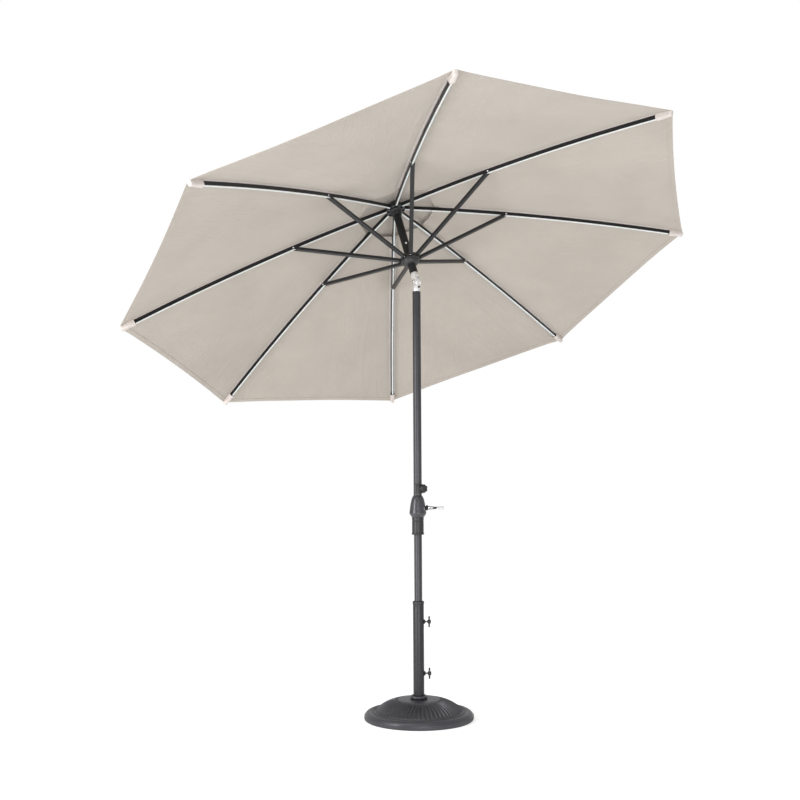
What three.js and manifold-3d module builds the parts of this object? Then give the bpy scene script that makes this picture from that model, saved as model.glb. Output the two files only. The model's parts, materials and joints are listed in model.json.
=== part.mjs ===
// Tilting crank umbrella on a fluted cast base. Millimetres, +Z up, origin at the middle of the base on the floor.
// The canopy is stored open and tilted. +X is the side of the crank.
import * as THREE from 'three';
import { mergeVertices } from 'three/addons/utils/BufferGeometryUtils.js';
import Module from 'manifold-3d';

const wasm = await Module();
wasm.setup();

// ---- driving dimensions ----
const gap = 0.35; // between neighbouring pieces that touch

// base
const baseRadius = 247;
const baseHeight = 90;
const baseWall = 10;
const domeTop = 34; // radius of the flat middle
const fluteCount = 60;
const fluteDepth = 1.5;
const fluteInner = 92;
const fluteOuter = baseRadius - 47;
const footWidth = 13;
const bossRadius = 44;
const socketFloor = 12;
const tubeRadius = 25;
const tubeWall = 2.4;
const tubeTop = 512;
const bushHeight = 14;
const beadRadius = 7.5;

// wing knobs on the base tube
const knobHeights = { lower: 202, upper: 433 };
const screwRadius = 4;
const knobStand = 16; // from the tube to the wing
const wingLength = 50;

// mast
const lowerPoleRadius = 18;
const poleRadius = 19;
const poleWall = 1.6;
const mastTop = 1963;
const collarRadius = 27.5;
const housingBottom = 907;
const housingTop = housingBottom + 100;
const collarBottom = housingBottom - 80;
const housingRadius = 39;
const housingWall = 3;
const clampHeight = housingTop + 31;
const clampAzimuth = -45;

// crank
const crankHeight = housingBottom + 43;
const shaftRadius = 5;
const spoolRadius = 13;
const crankThrow = 72;
const crankSweep = 42;
const gripLength = 27;
const gripRadius = 7.5;

// tilt joint
const tiltPivotHeight = mastTop + 50;
const tiltAzimuth = 128;
const tiltAngle = 22.8;
const knuckleRadius = 17.5;
const tongueHalf = 8;
const pinRadius = 4;
const buttonDrop = 30; // from the tilt pivot down to the button

// canopy frame, measured along the canopy's own axis from the tilt pivot
const stubStart = 44;
const runnerHeight = 124;
const hubHeight = 417;
const pivotRadius = 42;
const ribCount = 8;
const firstRibAzimuth = 7.6;
const ribLength = 1392;
const ribRootSlope = 13.3;
const ribTipSlope = 20.7;
const ribWidth = 12;
const ribDepth = 18;
const ribWall = 1.3;
const strutStation = 506; // along the rib from the hub to the strut's pivot
const strutPivotDrop = 3; // below the rib's middle
const strutDepth = 14;
const strutWall = 1.8;
const ringWire = 1.6;
const slotClearance = 0.5;
const runnerRadius = 46;
const hubRadius = 48;
const eyeletHeight = 206;

// cover
const clothThickness = 1.2;
const clothGap = 1.5; // over the ribs, whose flat tops are wider than the cover's ridges
const ventRadius = 195;
const ventCapRadius = 262;
const ventCapInner = 24;
const ventCapMiddle = 120;
const ventCapRise = 26; // over the ribs' tops at the hub
const ventCapDroop = 0.0003; // extra slope per mm outwards
const hemCurve = 14; // how far the hem is drawn in halfway between two ribs
const panelRelief = 0.03; // share of each half panel left free beside its neighbour, for the ribs' drop

// power cap
const capRadius = 72;
const capHeight = 44;

const rad = THREE.MathUtils.degToRad;

// ---- finishes ----
const finish = (color, roughness, metalness) => new THREE.MeshStandardMaterial({ color, roughness, metalness });
const castIron = finish(0x3a3a3e, 0.5, 0.6);
const charcoal = finish(0x3c3c41, 0.38, 0.7);
const blackPlastic = finish(0x1d1d20, 0.5, 0);
const blackMetal = finish(0x232326, 0.45, 0.6);
const chrome = finish(0xc8cacc, 0.15, 1);
const polished = finish(0xd9dbdd, 0.22, 1);
const greyGrip = finish(0xd5d6d4, 0.5, 0);
const cloth = finish(0xc9c0b2, 0.9, 0);
const glass = finish(0x10141f, 0.12, 0.1);

// ---- solids ----
// A closed, merged solid from any three.js geometry, with its faces turned out.
function solidOf(geometry) {
  const bare = new THREE.BufferGeometry();
  bare.setAttribute('position', geometry.getAttribute('position').clone());
  if (geometry.index) bare.setIndex(geometry.index.clone());
  const merged = mergeVertices(bare, 1e-4);
  const place = merged.getAttribute('position').array;
  const corners = [];
  const index = merged.index.array;
  for (let i = 0; i < index.length; i += 3) {
    const [a, b, c] = [index[i], index[i + 1], index[i + 2]];
    if (a !== b && b !== c && a !== c) corners.push(a, b, c);
  }
  if (signedVolume(place, corners) < 0) corners.reverse();
  const mesh = new wasm.Mesh({
    numProp: 3,
    vertProperties: new Float32Array(place),
    triVerts: new Uint32Array(corners),
  });
  return new wasm.Manifold(mesh);
}

function signedVolume(place, corners) {
  const point = (n) => new THREE.Vector3(place[3 * n], place[3 * n + 1], place[3 * n + 2]);
  let sum = 0;
  for (let i = 0; i < corners.length; i += 3) {
    sum += point(corners[i]).dot(point(corners[i + 1]).cross(point(corners[i + 2])));
  }
  return sum;
}

function geometryOf(solid) {
  const mesh = solid.getMesh();
  const geometry = new THREE.BufferGeometry();
  geometry.setAttribute('position', new THREE.BufferAttribute(new Float32Array(mesh.vertProperties), 3));
  geometry.setIndex(new THREE.BufferAttribute(new Uint32Array(mesh.triVerts), 1));
  geometry.computeVertexNormals();
  return geometry;
}

const join = (first, ...others) => others.reduce((sum, next) => sum.add(next), first);
const cut = (body, ...tools) => tools.reduce((rest, tool) => rest.subtract(tool), body);

function block(x0, x1, y0, y1, z0, z1) {
  const box = new THREE.BoxGeometry(x1 - x0, y1 - y0, z1 - z0);
  return solidOf(box.translate((x0 + x1) / 2, (y0 + y1) / 2, (z0 + z1) / 2));
}

// A round bar along an axis, from one coordinate to another. endRadius makes it a cone.
function rod(axis, radius, from, to, sides = 24, endRadius = radius) {
  const bar = new THREE.CylinderGeometry(endRadius, radius, to - from, sides);
  bar.translate(0, (from + to) / 2, 0);
  if (axis === 'z') bar.rotateX(Math.PI / 2);
  if (axis === 'x') bar.rotateZ(-Math.PI / 2);
  return solidOf(bar);
}

// A profile of [radius, height] points turned round Z.
function turned(profile, sides = 24) {
  const points = profile.map(([radius, height]) => new THREE.Vector2(radius, height));
  return new THREE.LatheGeometry(points, sides).rotateX(Math.PI / 2);
}

function sleeve(outer, inner, bottom, top, sides = 24) {
  const profile = [[inner, bottom], [outer, bottom], [outer, top], [inner, top], [inner, bottom]];
  return solidOf(turned(profile, sides));
}

function torus(radius, wire, height, around = 24) {
  return solidOf(new THREE.TorusGeometry(radius, wire, 6, around).translate(0, 0, height));
}

// An outline of [x, z] points given a thickness along Y.
function plate(outline, y0, y1) {
  const shape = new THREE.Shape(outline.map(([x, z]) => new THREE.Vector2(x, z)));
  const slab = new THREE.ExtrudeGeometry(shape, { depth: y1 - y0, bevelEnabled: false });
  return solidOf(slab.rotateX(Math.PI / 2).translate(0, y1, 0));
}

// The outline of a bar with round ends, between two x, at height 0.
function stadium(x0, x1, radius, steps = 4) {
  const points = [];
  for (let i = 0; i <= steps; i++) {
    const turn = -Math.PI / 2 + (Math.PI * i) / steps;
    points.push([x1 + radius * Math.cos(turn), radius * Math.sin(turn)]);
  }
  for (let i = 0; i <= steps; i++) {
    const turn = Math.PI / 2 + (Math.PI * i) / steps;
    points.push([x0 + radius * Math.cos(turn), radius * Math.sin(turn)]);
  }
  return points;
}

// Rings of the same number of points, skinned side to side and capped at both ends.
function skinned(rings, caps = capTriangles) {
  const count = rings[0].length;
  const place = rings.flat(2);
  const corners = [];
  for (let i = 0; i + 1 < rings.length; i++) {
    for (let j = 0; j < count; j++) {
      const a = i * count + j;
      const b = i * count + ((j + 1) % count);
      corners.push(a, b, b + count, a, b + count, a + count);
    }
  }
  const flat = caps(rings[0]);
  const last = (rings.length - 1) * count;
  for (const [a, b, c] of flat) {
    corners.push(a, c, b, last + a, last + b, last + c);
  }
  const geometry = new THREE.BufferGeometry();
  geometry.setAttribute('position', new THREE.Float32BufferAttribute(place, 3));
  geometry.setIndex(corners);
  return solidOf(geometry);
}

// Triangles of a ring's own outline, wound the way the ring runs.
function capTriangles(ring) {
  const points = ring.map(([, y, z]) => new THREE.Vector2(y, z));
  const triangles = THREE.ShapeUtils.triangulateShape(points, []);
  const turnOf = ([a, b, c]) => points[b].clone().sub(points[a]).cross(points[c].clone().sub(points[a]));
  const forwards = THREE.ShapeUtils.area(points) > 0;
  return triangles.map((t) => (turnOf(t) > 0 === forwards ? t : [t[0], t[2], t[1]]));
}

// Triangles across the end of a sheet, whose ring runs along one face and back along the other.
function sheetCap(ring) {
  const last = ring.length - 1;
  const triangles = [];
  for (let j = 0; j + 1 < ring.length / 2; j++) {
    triangles.push([j, j + 1, last - j - 1], [j, last - j - 1, last - j]);
  }
  return triangles;
}

const umbrella = new THREE.Group();

function add(name, solid, material, parent = umbrella) {
  const mesh = new THREE.Mesh(geometryOf(solid), material);
  mesh.name = name;
  parent.add(mesh);
}

// ---- base ----
function baseCasting() {
  const edge = 35;
  const dome = (radius) => edge + (baseHeight - edge) * Math.cos((Math.PI / 2) * share(radius) ** 1.6) ** 0.8;
  const share = (radius) => Math.max(0, (radius - domeTop) / (fluteOuter - domeTop));
  const profile = [
    [0, baseHeight],
    [domeTop, baseHeight],
    [fluteInner - 30, dome(fluteInner - 30)],
    [fluteInner, dome(fluteInner)],
    ...[0.35, 0.65, 0.85].map((part) => fluteInner + (fluteOuter - fluteInner) * part).map((radius) => [radius, dome(radius)]),
    [fluteOuter - 4, 38],
    [fluteOuter, 33],
    [fluteOuter + 4, 28],
    [baseRadius - 35, 34],
    [baseRadius - 22, 36],
    [baseRadius - 9, 31],
    [baseRadius, 20],
    [baseRadius, 6],
    [baseRadius - 3, 0],
    [0, 0],
  ];
  const sides = 2 * fluteCount;
  const geometry = turned(profile, sides);
  const spot = geometry.getAttribute('position');
  const from = profile.findIndex(([radius]) => radius === fluteInner) + 1;
  const to = profile.findIndex(([radius]) => radius === fluteOuter);
  for (let side = 0; side <= sides; side++) {
    for (let ring = from; ring <= to; ring++) {
      const vertex = side * profile.length + ring;
      const lift = side % 2 ? -fluteDepth : fluteDepth;
      spot.setZ(vertex, spot.getZ(vertex) + lift);
    }
  }
  const foot = baseRadius - 3 - footWidth;
  const hollow = solidOf(turned([
    [bossRadius, -1], [foot, -1], [foot - 4, 20], [fluteOuter, 30 - baseWall], [150, dome(150) - baseWall],
    [100, dome(100) - baseWall], [bossRadius, dome(62) - baseWall], [bossRadius, -1],
  ]));
  const socket = rod('z', tubeRadius + gap, socketFloor, baseHeight + 1);
  return cut(solidOf(geometry), hollow, socket);
}

function baseCollar() {
  const middle = tubeRadius + gap + beadRadius;
  const height = baseHeight + gap + beadRadius;
  return torus(middle, beadRadius, height);
}

function baseTube() {
  const bore = tubeRadius - tubeWall;
  const nuts = Object.values(knobHeights).map((height) => rod('x', 9, bore + 1, tubeRadius + 6, 6).translate([0, 0, height]));
  const holes = Object.values(knobHeights).map((height) => rod('x', screwRadius + gap, 10, 60, 16).translate([0, 0, height]));
  const tube = join(sleeve(tubeRadius, bore, socketFloor + gap, tubeTop), ...nuts);
  return cut(tube, ...holes);
}

function tubeBush() {
  const inner = lowerPoleRadius + 0.5;
  const bore = tubeRadius - tubeWall - gap;
  const lip = tubeRadius + 1.5;
  const seat = tubeTop + gap;
  return solidOf(turned([
    [inner, tubeTop - 30], [bore, tubeTop - 30], [bore, seat], [lip, seat],
    [lip, seat + bushHeight - 3], [lip - 3, seat + bushHeight], [inner, seat + bushHeight], [inner, tubeTop - 30],
  ]));
}

add('base_casting', baseCasting(), castIron);
add('base_collar', baseCollar(), castIron);
add('base_tube', baseTube(), charcoal);
add('tube_bush', tubeBush(), blackPlastic);

// ---- wing knobs ----
function wingKnob(height) {
  const start = tubeRadius + knobStand;
  const hub = rod('x', 9, start, start + 16, 20, 8);
  const wing = plate(stadium(-wingLength / 2 + 7, wingLength / 2 - 7, 7), start + 4, start + 11.5).rotate([90, 90, 0]);
  const bore = rod('x', screwRadius + gap, start - 1, start + 12, 16);
  return cut(join(hub, wing), bore).translate([0, 0, height]);
}

function knobScrew(height) {
  const tip = lowerPoleRadius + gap;
  return rod('x', screwRadius, tip, tubeRadius + knobStand + 11, 16).translate([0, 0, height]);
}

for (const [place, height] of Object.entries(knobHeights)) {
  add(`${place}_wing_knob`, wingKnob(height), blackPlastic);
  add(`${place}_knob_screw`, knobScrew(height), chrome);
}

// ---- mast ----
const lowerPoleTop = crankHeight - spoolRadius - 6;
const upperPoleBottom = crankHeight + spoolRadius + 6;
const plugTop = socketFloor + 26;

function poleFootPlug() {
  const outer = tubeRadius - tubeWall - gap;
  const inner = lowerPoleRadius - poleWall - gap;
  const bottom = socketFloor + gap;
  return solidOf(turned([[0, bottom], [outer, bottom], [outer, plugTop], [inner, plugTop], [inner, plugTop + 24], [0, plugTop + 24]]));
}

function crankHousing() {
  const outer = [
    [collarRadius + 0.5, housingBottom], [housingRadius, housingBottom + 16], [housingRadius - 3, crankHeight],
    [housingRadius - 7, housingTop - 32], [housingRadius - 11, housingTop - 15], [housingRadius - 15, housingTop - 6],
    [poleRadius + 1, housingTop],
  ];
  const inner = [
    [poleRadius + gap, housingTop], [poleRadius + gap, housingTop - 9], [housingRadius - 11 - housingWall, housingTop - 21],
    [housingRadius - 3 - housingWall, crankHeight], [housingRadius - housingWall, housingBottom + 17],
    [collarRadius - 2, housingBottom + 5], [lowerPoleRadius + gap, housingBottom + 5], [lowerPoleRadius + gap, housingBottom],
  ];
  const shell = solidOf(turned([...outer, ...inner, outer[0]]));
  const seat = rod('x', 9, 20, 60, 24).translate([0, 0, crankHeight]);
  return cut(shell, seat);
}

function housingCollar() {
  const bore = lowerPoleRadius + gap;
  const top = housingBottom - gap;
  return solidOf(turned([
    [bore, collarBottom], [collarRadius - 1, collarBottom], [collarRadius + 0.8, collarBottom + 3],
    [collarRadius + 0.8, collarBottom + 7], [collarRadius - 0.3, collarBottom + 10], [collarRadius - 0.3, top], [bore, top],
    [bore, collarBottom],
  ]));
}

function clampSaddle() {
  const wrap = sleeve(poleRadius + 6, poleRadius + gap, clampHeight - 21, clampHeight + 21);
  const half = block(2, 60, -60, 60, clampHeight - 30, clampHeight + 30);
  const boss = rod('x', 9, poleRadius + 3, poleRadius + 10, 20).translate([0, 0, clampHeight]);
  const bore = rod('x', screwRadius + gap, 0, 60, 16).translate([0, 0, clampHeight]);
  return cut(join(wrap.intersect(half), boss), bore).rotate([0, 0, clampAzimuth]);
}

function clampKnob() {
  const lobes = 6;
  const start = poleRadius + 11;
  const points = [];
  for (let i = 0; i < lobes * 6; i++) {
    const turn = (i / (lobes * 6)) * 2 * Math.PI;
    const radius = 17.6 + 1.9 * Math.cos(lobes * turn);
    points.push([radius * Math.cos(turn), radius * Math.sin(turn)]);
  }
  const bore = rod('x', screwRadius + gap, start - 1, start + 12, 16);
  const star = plate(points, start, start + 17).rotate([0, 0, -90]);
  const neck = rod('x', 10, start - 0.5, start + 5, 20);
  return cut(join(star, neck), bore).translate([0, 0, clampHeight]).rotate([0, 0, clampAzimuth]);
}

function clampStud() {
  const stud = rod('x', screwRadius, poleRadius + gap, poleRadius + 22, 16);
  return stud.translate([0, 0, clampHeight]).rotate([0, 0, clampAzimuth]);
}

add('pole_foot_plug', poleFootPlug(), blackPlastic);
add('lower_pole', sleeve(lowerPoleRadius, lowerPoleRadius - poleWall, plugTop + gap, lowerPoleTop), charcoal);
add('crank_housing', crankHousing(), charcoal);
add('housing_collar', housingCollar(), charcoal);
add('upper_pole', sleeve(poleRadius, poleRadius - poleWall, upperPoleBottom, mastTop), charcoal);
add('clamp_saddle', clampSaddle(), blackPlastic);
add('clamp_knob', clampKnob(), blackPlastic);
add('clamp_stud', clampStud(), chrome);

// ---- crank ----
const bearingFace = housingRadius - 1.2;

function crankBearing() {
  const flange = rod('x', 11, bearingFace, bearingFace + 1.8, 24);
  const barrel = rod('x', 9 - gap, 30, bearingFace + 1, 24);
  const bore = rod('x', shaftRadius + gap, 20, 60, 20);
  return cut(join(flange, barrel), bore).translate([0, 0, crankHeight]);
}

function cordSpool() {
  const half = 11;
  const core = rod('x', 8.5, -half, half, 24);
  const flanges = [-half, half - 2].map((x) => rod('x', spoolRadius, x, x + 2, 24));
  const bore = rod('x', shaftRadius + gap, -20, 20, 20);
  return cut(join(core, ...flanges), bore).translate([0, 0, crankHeight]);
}

const armStart = housingRadius + 11;
const armEnd = armStart + crankSweep - 4;
const armEyeBack = 1.6;

function crankBoss() {
  const start = bearingFace + 1.8 + gap;
  const cone = rod('x', 13.5, start, armStart - armEyeBack - gap, 24, 9.5);
  const bore = rod('x', shaftRadius + gap, 20, 60, 20);
  return cut(cone, bore).translate([0, 0, crankHeight]);
}

function crankArm() {
  const reach = Math.hypot(crankSweep - 4, crankThrow);
  const turn = -Math.atan2(crankThrow, crankSweep - 4) * (180 / Math.PI);
  const web = plate([[0, -8], [reach - 4, -4.5], [reach, 0], [reach - 4, 4.5], [0, 8]], -1.5, 1.5);
  const swept = web.rotate([0, 0, turn]).translate([armStart, 0, 0]);
  const eye = rod('x', 8.5, armStart - armEyeBack, armStart + 3, 24);
  const lug = rod('x', 5, armEnd - 3, armEnd + 1.5, 16).translate([0, -crankThrow, 0]);
  const pin = rod('x', 2.6, armEnd, armEnd + gripLength - 3, 12).translate([0, -crankThrow, 0]);
  const bore = rod('x', shaftRadius + gap, 20, armStart + 1.5, 20);
  return cut(join(swept, eye, lug, pin), bore).translate([0, 0, crankHeight]);
}

function crankGrip() {
  const start = armEnd + 1.5 + gap;
  const body = rod('x', gripRadius - 0.6, start, start + gripLength, 20, gripRadius);
  const bore = rod('x', 2.6 + gap, start - 1, start + gripLength - 4, 16);
  return cut(body, bore).translate([0, -crankThrow, crankHeight]);
}

add('crank_bearing', crankBearing(), blackPlastic);
add('crank_shaft', rod('x', shaftRadius, -22, armStart + 1.5 - gap, 20).translate([0, 0, crankHeight]), chrome);
add('cord_spool', cordSpool(), blackPlastic);
add('crank_boss', crankBoss(), blackPlastic);
add('crank_arm', crankArm(), chrome);
add('crank_grip', crankGrip(), greyGrip);

// ---- tilt joint ----
// In these two pieces the tilt pin lies along X through the origin.
function lowerKnuckle() {
  const shoulder = -knuckleRadius - 3;
  const foot = mastTop + gap - tiltPivotHeight;
  const neck = rod('z', knuckleRadius, foot, shoulder, 24);
  const spigot = rod('z', poleRadius - poleWall - gap, foot - 34, foot + 1, 24);
  const tongue = plate(stadium(shoulder - 2, 0, knuckleRadius - 1.5), -tongueHalf, tongueHalf).rotate([0, -90, 90]);
  const bore = rod('x', pinRadius + gap, -30, 30, 20);
  const buttonBore = rod('y', 5 + gap, 0, 30, 20).translate([0, 0, -buttonDrop]);
  return cut(join(neck, spigot, tongue), bore, buttonBore);
}

function upperKnuckle() {
  const shoulder = knuckleRadius + 2;
  const neck = rod('z', knuckleRadius, shoulder, stubStart - gap, 24);
  const spigot = rod('z', poleRadius - poleWall - gap, stubStart - 1, stubStart + 34, 24);
  const outline = stadium(0, shoulder + 2, knuckleRadius - 1.5);
  const cheeks = [
    plate(outline, tongueHalf + 0.5, knuckleRadius).rotate([0, -90, 90]),
    plate(outline, -knuckleRadius, -tongueHalf - 0.5).rotate([0, -90, 90]),
  ];
  const round = rod('z', knuckleRadius, -30, stubStart, 24);
  const bore = rod('x', pinRadius + gap, -30, 30, 20);
  return cut(join(neck, spigot, ...cheeks.map((cheek) => cheek.intersect(round))), bore);
}

function tiltRivet() {
  const half = knuckleRadius + gap;
  const heads = [rod('x', 6.5, half, half + 2.4, 20, 4.5), rod('x', 4.5, -half - 2.4, -half, 20, 6.5)];
  return join(rod('x', pinRadius, -half - 0.1, half + 0.1, 20), ...heads);
}

function tiltButton() {
  const cap = rod('y', 5, 6, knuckleRadius + 5, 20);
  return cap.translate([0, 0, -buttonDrop]);
}

// The button faces away from the way the canopy leans.
const knuckle = new THREE.Group();
knuckle.position.z = tiltPivotHeight;
knuckle.rotation.z = rad(tiltAzimuth + 90);
umbrella.add(knuckle);
add('lower_knuckle', lowerKnuckle(), polished, knuckle);
add('tilt_rivet', tiltRivet(), polished, knuckle);
add('tilt_button', tiltButton(), blackPlastic, knuckle);

// ---- canopy frame ----
// The head group leans with the canopy: its Z is the canopy's axis, from the tilt pivot up.
const head = new THREE.Group();
const pinAxis = new THREE.Vector3(-Math.sin(rad(tiltAzimuth)), Math.cos(rad(tiltAzimuth)), 0);
head.position.z = tiltPivotHeight;
head.quaternion.setFromAxisAngle(pinAxis, rad(tiltAngle));
umbrella.add(head);

const headKnuckle = new THREE.Group();
headKnuckle.rotation.z = rad(tiltAzimuth + 90);
head.add(headKnuckle);
add('upper_knuckle', upperKnuckle(), polished, headKnuckle);

const poleTop = hubHeight + 9;
const pulleyHeight = hubHeight - 60;

function canopyPole() {
  const tube = sleeve(poleRadius, poleRadius - poleWall, stubStart, poleTop);
  const axle = rod('y', 2.2 + gap, -30, 30, 12).translate([0, 0, pulleyHeight]);
  const slot = block(0, 30, -4, 4, pulleyHeight - 34, pulleyHeight - 6);
  const eyelet = rod('x', 3 + gap, 0, 30, 16).rotate([0, 0, -85]).translate([0, 0, eyeletHeight]);
  return cut(tube, axle, slot, eyelet);
}

function cordPulley() {
  const wheel = solidOf(turned([[0, -4], [11, -4], [8.5, 0], [11, 4], [0, 4]], 24)).rotate([90, 0, 0]);
  const axle = rod('y', 2.2, -poleRadius + 0.2, poleRadius - 0.2, 12);
  return join(wheel, axle).translate([0, 0, pulleyHeight]);
}

function cordEyelet() {
  const shank = rod('x', 3, poleRadius - 2.5, poleRadius + 1, 16);
  const flange = rod('x', 5, poleRadius + gap, poleRadius + 1.6, 16, 4);
  const bore = rod('x', 1.6, 0, 30, 12);
  return cut(join(shank, flange), bore).rotate([0, 0, -85]).translate([0, 0, eyeletHeight]);
}

const ribAzimuth = (k) => firstRibAzimuth + (360 / ribCount) * k;
const aroundRibs = (make) => Array.from({ length: ribCount }, (_, k) => make().rotate([0, 0, ribAzimuth(k)]));

const slotStart = pivotRadius - 12;

// The hole's radius where a ring's bent wire passes through a piece of that half width.
function wireHoleRadius(halfWidth) {
  const bow = pivotRadius - Math.sqrt(pivotRadius ** 2 - halfWidth ** 2);
  return ringWire + gap + bow + slotClearance;
}

function topHub() {
  const bore = poleRadius + gap;
  const bottom = hubHeight - 40;
  const roof = poleTop + gap;
  const body = solidOf(turned([
    [bore, bottom], [bore + 4.5, bottom], [bore + 6.5, hubHeight - 16], [hubRadius - 3, hubHeight - 12],
    [hubRadius, hubHeight - 9], [hubRadius, hubHeight + 8], [hubRadius - 4, hubHeight + 12], [14, roof + 5],
    [5, roof + 5], [5, roof], [bore, roof], [bore, bottom],
  ]));
  const half = ribWidth / 2 + slotClearance;
  const slots = aroundRibs(() => block(slotStart, hubRadius + 20, -half, half, hubHeight - 20, hubHeight + 20));
  return cut(body, ...slots, torus(pivotRadius, ringWire + gap, hubHeight));
}

const strutWidth = ribWidth + 2 * (slotClearance + strutWall);

function runner() {
  const bore = poleRadius + 1;
  const deck = runnerHeight + 12;
  const rim = runnerHeight - 13;
  const body = solidOf(turned([
    [bore, rim - 21], [bore + 3.5, rim - 21], [bore + 9, rim - 19.5], [runnerRadius - 11, rim - 14],
    [runnerRadius - 6, rim - 7], [runnerRadius - 3.5, rim], [runnerRadius - 3.5, rim + 1.5], [runnerRadius, rim + 2],
    [runnerRadius, deck - 3], [runnerRadius - 3, deck], [bore + 6, deck], [bore + 4, deck + 12], [bore, deck + 12],
    [bore, rim - 21],
  ]));
  const half = strutWidth / 2 + slotClearance;
  const slots = aroundRibs(() => block(slotStart, hubRadius + 20, -half, half, runnerHeight - 9, runnerHeight + 20));
  return cut(body, ...slots, torus(pivotRadius, ringWire + gap, runnerHeight));
}

add('canopy_pole', canopyPole(), charcoal, head);
add('cord_pulley', cordPulley(), blackPlastic, head);
add('cord_eyelet', cordEyelet(), polished, head);
add('top_hub', topHub(), blackPlastic, head);
add('hub_ring', torus(pivotRadius, ringWire, hubHeight), chrome, head);
add('runner', runner(), blackPlastic, head);
add('runner_ring', torus(pivotRadius, ringWire, runnerHeight), chrome, head);

// ---- ribs and struts ----
const slopeAt = (along) => rad(ribRootSlope + ((ribTipSlope - ribRootSlope) * along) / ribLength);
const bend = rad(ribTipSlope - ribRootSlope) / ribLength;

// A point over the rib's bent middle line, in the rib's own upright plane.
function ribPoint(along, over = 0) {
  const slope = slopeAt(along);
  const root = rad(ribRootSlope);
  return {
    x: pivotRadius + (Math.sin(slope) - Math.sin(root)) / bend + over * Math.sin(slope),
    z: hubHeight + (Math.cos(slope) - Math.cos(root)) / bend + over * Math.cos(slope),
  };
}

const coverStart = (ventRadius - pivotRadius) / Math.cos(rad(ribRootSlope));
const bendStations = [0.3, 0.5, 0.7, 0.85].map((part) => part * ribLength);

function rib() {
  const side = ribWidth / 2;
  const up = ribDepth / 2;
  const inside = side - ribWall;
  const section = [
    [-side, -up], [-inside, -up], [-inside, up - ribWall], [inside, up - ribWall],
    [inside, -up], [side, -up], [side, up], [-side, up],
  ];
  const stations = [-8, coverStart, ...bendStations, ribLength - 6];
  const rings = stations.map((along) => section.map(([y, over]) => {
    const { x, z } = ribPoint(along, over);
    return [x, y, z];
  }));
  const wireHole = rod('y', wireHoleRadius(side), -20, 20, 12).translate([pivotRadius, 0, hubHeight]);
  return cut(skinned(rings), wireHole);
}

const strutPivot = ribPoint(strutStation, -strutPivotDrop);
const strutLength = Math.hypot(strutPivot.x - pivotRadius, strutPivot.z - runnerHeight);
const strutRise = Math.atan2(strutPivot.z - runnerHeight, strutPivot.x - pivotRadius);

function strut() {
  const outer = strutWidth / 2;
  const inner = outer - strutWall;
  const up = strutDepth / 2;
  const cheek = stadium(0, strutLength, up);
  const web = block(10, strutLength - 16, -inner - 0.2, inner + 0.2, -up, -up + strutWall);
  const channel = join(plate(cheek, inner, outer), plate(cheek, -outer, -inner), web);
  const wireHole = rod('y', wireHoleRadius(outer), -20, 20, 12);
  const rise = -strutRise * (180 / Math.PI);
  return cut(channel, wireHole).rotate([0, rise, 0]).translate([pivotRadius, 0, runnerHeight]);
}

// ---- cover ----
// Each gore lies over one rib, from the middle of one panel to the middle of the next.
function gore() {
  const rows = [coverStart, ...bendStations, ribLength];
  const shares = [-1, -0.5, 0, 0.5, 1];
  const half = rad(180 / ribCount);
  const lift = ribDepth / 2 + clothGap;
  const spot = (along, share, over) => {
    const edge = hemCurve * (along / ribLength) ** 8 * Math.abs(share) * (2 - Math.abs(share));
    const { x, z } = ribPoint(along - edge, lift + over);
    const width = x * Math.cos(half) * Math.sin(half) * share * (1 - panelRelief);
    const inward = x * Math.sin(half) * Math.sin(half) * Math.abs(share);
    return [x - inward, width, z];
  };
  const rings = rows.map((along) => [
    ...shares.map((share) => spot(along, share, 0)),
    ...shares.toReversed().map((share) => spot(along, share, clothThickness)),
  ]);
  return skinned(rings, sheetCap);
}

function ventCap() {
  const corner = (turn, radius, height) => [radius * Math.cos(turn), radius * Math.sin(turn), height];
  const slope = Math.tan(rad(ribRootSlope));
  const rise = hubHeight + ribDepth / 2 + ventCapRise;
  const under = [ventCapInner, ventCapMiddle, ventCapRadius].map((radius) => [radius, 0]);
  const rings = [...under, ...under.toReversed().map(([radius]) => [radius, clothThickness])];
  const place = rings.flatMap(([radius, over]) => Array.from({ length: ribCount }, (_, k) => {
    const out = radius - ventCapInner;
    const height = rise - out * slope * (1 + out * ventCapDroop) + over;
    return corner(rad(ribAzimuth(k)), radius, height);
  }).flat());
  const corners = [];
  for (let i = 0; i < rings.length; i++) {
    const below = i * ribCount;
    const above = ((i + 1) % rings.length) * ribCount;
    for (let k = 0; k < ribCount; k++) {
      const next = (k + 1) % ribCount;
      corners.push(below + k, below + next, above + next, below + k, above + next, above + k);
    }
  }
  const geometry = new THREE.BufferGeometry();
  geometry.setAttribute('position', new THREE.Float32BufferAttribute(place, 3));
  geometry.setIndex(corners);
  return solidOf(geometry);
}

for (let k = 0; k < ribCount; k++) {
  const bay = new THREE.Group();
  bay.rotation.z = rad(ribAzimuth(k));
  head.add(bay);
  add(`rib_${k + 1}`, rib(), blackMetal, bay);
  add(`strut_${k + 1}`, strut(), blackMetal, bay);
  add(`gore_${k + 1}`, gore(), cloth, bay);
}
add('vent_cap', ventCap(), cloth, head);

// ---- power cap ----
const capBottom = hubHeight + 50;

function powerCap() {
  const roof = capBottom + capHeight;
  const foot = poleTop + gap + 5.4;
  return solidOf(turned([
    [0, foot], [13, foot], [13, capBottom], [capRadius - 10, capBottom + 4], [capRadius, capBottom + 14],
    [capRadius - 6, roof - 6], [capRadius - 12, roof], [capRadius - 14, roof], [capRadius - 14, roof - 4], [0, roof - 4],
  ]));
}

const panelSeat = capBottom + capHeight - 4 + gap;
add('power_cap', powerCap(), blackPlastic, head);
add('solar_panel', rod('z', capRadius - 14 - 2 * gap, panelSeat, panelSeat + 2.5), glass, head);

export default umbrella;
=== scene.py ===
import json
from math import atan2, cos, exp, floor, hypot, pi, radians, sin, tan

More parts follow.
